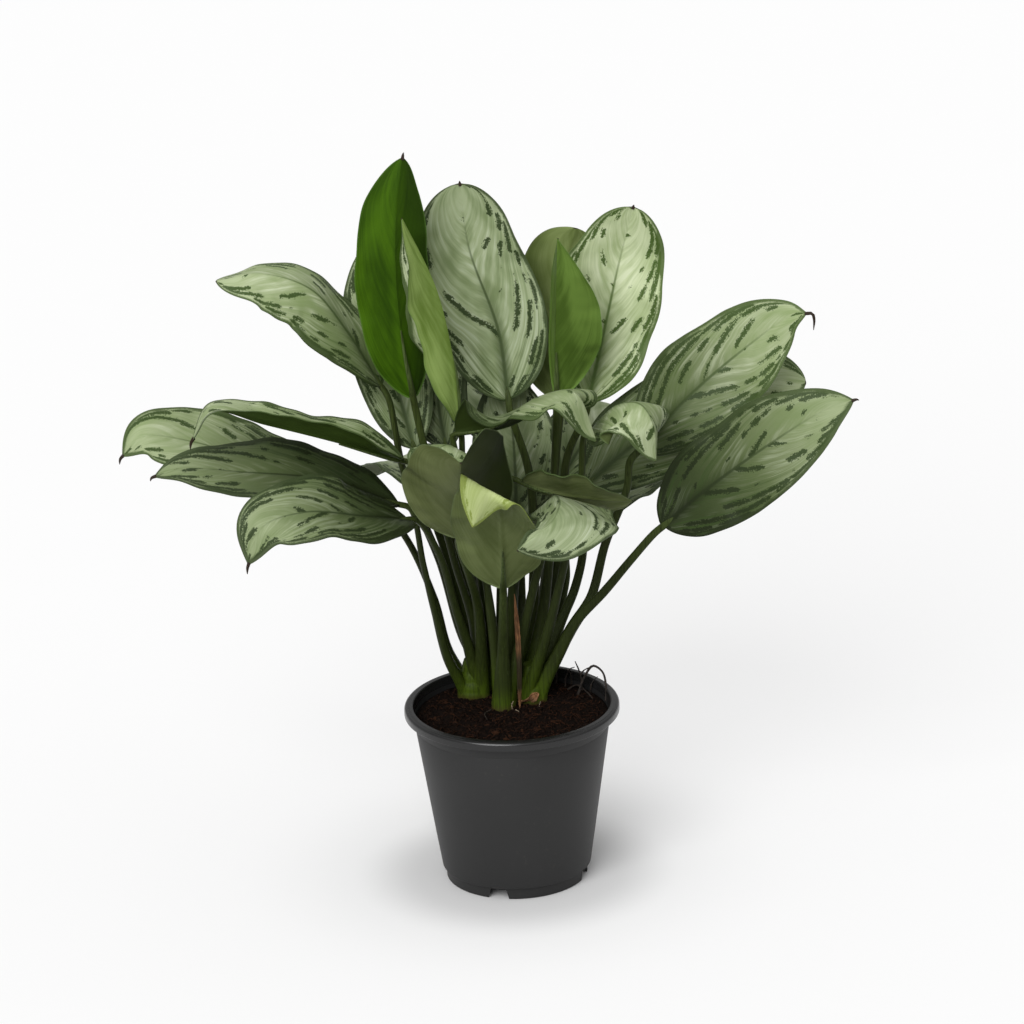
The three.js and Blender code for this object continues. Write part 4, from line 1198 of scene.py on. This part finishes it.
def sheath_finish():
    """Dry brown sheath: orange to grey-brown, with fibres along it, and painted shade between the stalks."""
    g = Graph("dry_sheath", Specular_IOR_Level=0.3, Roughness=0.7)
    place = g.place()
    x, y, z = g.split(place)
    fibre = g.noise((x * 1500, y * 1500, z * 60), detail=3, rough=0.65)
    cloud = g.noise(place, 90, 3)
    base = g.layers(
        srgb(150, 108, 72),
        (g.step(fibre, 0.35, 0.7), srgb(88, 58, 34)),
        (g.step(cloud, 0.5, 0.7, 0, 0.6), srgb(72, 54, 36)),
        # Painted shade: a near-black band where the sheath runs between the stalks.
        (g.step(z, 0.22, 0.195) * g.step(z, 0.163, 0.172) * 0.93, srgb(34, 34, 16)),
    )
    g.bump(fibre, 0.0004, 0.8)
    return g.shade(Base_Color=base)


def floor_finish():
    """A pale sweep that throws back less light on the plant than it shows."""
    g = Graph("studio_floor", Roughness=0.9, Specular_IOR_Level=0.1, Emission_Color=grey(1))
    place = g.place()
    x, y, _ = g.split(place)
    away = g.math("SQRT", x * x + y * y)
    # Painted light: the floor glows, seen by the camera and in reflections, from none at the pot's foot to
    # GLOW_FAR far out, which lightens the shadows there.
    glow = g.step(away, 0.06, 0.27, 0, GLOW_FAR)
    rays = [g.node("LightPath", {}, "Is %s Ray" % kind) for kind in ("Camera", "Glossy")]
    seen = g.math("MAXIMUM", *rays)
    pale = g.mix(g.noise(place, 9, 3), grey(FLOOR_PALE), grey(FLOOR_PALE + 0.01))
    # Painted shadow: darker grey round the pot's foot. Further out, where glow rises, the colour gives way to
    # the painted light of the glow.
    shown = g.layers(pale, (g.fall(away, 0.085, 0.15), grey(FLOOR_PAINTED_SHADOW)), (glow, grey(0)))
    return g.shade(Base_Color=g.mix(seen, grey(FLOOR_THROWN), shown), Emission_Strength=glow * seen * GLOW)


# ---- the plant in its pot


def build_plant():
    """All the pieces: blades, stalks, pot, soil and what lies on it."""
    upper, under = upper_finish(), under_finish()
    for index, leaf in enumerate(LEAVES):
        blade(leaf, index, [upper, under])
    shoots(stalk_finish())
    pot(pot_finish())
    peat = soil_finish("peat", srgb(13, 9, 7), srgb(32, 22, 17), 420.0)
    soil_body(peat)
    crumbs(soil_finish("peat_crumbs", srgb(16, 11, 9), srgb(42, 29, 22), 600.0))
    fibres(soil_finish("peat_fibres", srgb(40, 25, 17), srgb(74, 47, 33), 500.0))
    roots("bare_roots", BARE_ROOTS, root_finish("root_dark", srgb(24, 20, 17), srgb(56, 47, 40)))
    roots("pale_roots", PALE_ROOTS, root_finish("root_pale", srgb(118, 102, 84), srgb(160, 146, 126)))
    dry = sheath_finish()
    papery("sheath_strip", SHEATH, dry, "dried_sheath")
    papery("sheath_scrap", SCRAP, dry)


# ---- floor, light and camera, in metres

FLOOR_HALF = 9.0
FLOOR_DROP = 0.0004
CAMERA_TARGET = Vector((0.0058, 0.0, 0.3406))
CAMERA_DISTANCE = 5.0
CAMERA_ELEVATION = 20.3
CAMERA_ROLL = -1.9
CAMERA_LENS = 201.8
FLOOR_PALE = 0.93
# The grey of the painted shadow round the pot's foot.
FLOOR_PAINTED_SHADOW = 0.72
FLOOR_THROWN = 0.28
# Painted light: how bright the floor's glow is, and how much of the floor glows far out.
GLOW = 0.975
GLOW_FAR = 0.6
SKY_LOW = 0.25
SKY_HIGH = 0.8
SUN = 2.3
SUN_ANGLE = 40
SUN_FROM = Vector((-0.45, -1.1, 0.85))


def floor():
    """A broad pale floor, just under the pot."""
    shape = Shape()
    half = FLOOR_HALF / MM
    shape.add([(-half, -half, 0), (half, -half, 0), (half, half, 0), (-half, half, 0)], [(0, 1, 2, 3)])
    piece = shape.build("floor", [floor_finish()])
    piece.location.z = -FLOOR_DROP


def sky():
    """A white sky, brightest overhead."""
    g = Graph("studio", "worlds", Color=grey(1))
    up = g.split(g.node("TexCoord", {}, "Generated"))[2]
    bpy.context.scene.world = g.shade(Strength=g.step(up, 0, 0.95, SKY_LOW, SKY_HIGH, "LINEAR"))


def key_light():
    """A wide, soft light from the upper front left."""
    light = bpy.data.lights.new("key", "SUN")
    light.energy = SUN
    light.angle = math.radians(SUN_ANGLE)
    key = new_object("key", light)
    key.rotation_mode = "QUATERNION"
    key.rotation_quaternion = (-SUN_FROM).to_track_quat("-Z", "Y")
    key.location = SUN_FROM


def studio():
    sky()
    key_light()
    bpy.context.scene.view_settings.view_transform = "Standard"
    bpy.context.scene.view_settings.look = "None"


def camera():
    """The photograph's view: a long lens, a little above the plant."""
    data = bpy.data.cameras.new("camera")
    data.lens = CAMERA_LENS
    data.sensor_width = 36
    data.clip_start, data.clip_end = 0.1, 60
    view = new_object("camera", data)
    elevation = math.radians(CAMERA_ELEVATION)
    back = Vector((0, -math.cos(elevation), math.sin(elevation)))
    tilt = Matrix.Rotation(math.pi / 2 - elevation, 4, "X")
    roll = Matrix.Rotation(math.radians(CAMERA_ROLL), 4, "Z")
    view.matrix_world = Matrix.Translation(CAMERA_TARGET + back * CAMERA_DISTANCE) @ tilt @ roll
    bpy.context.scene.camera = view


camera()
studio()
floor()
build_plant()
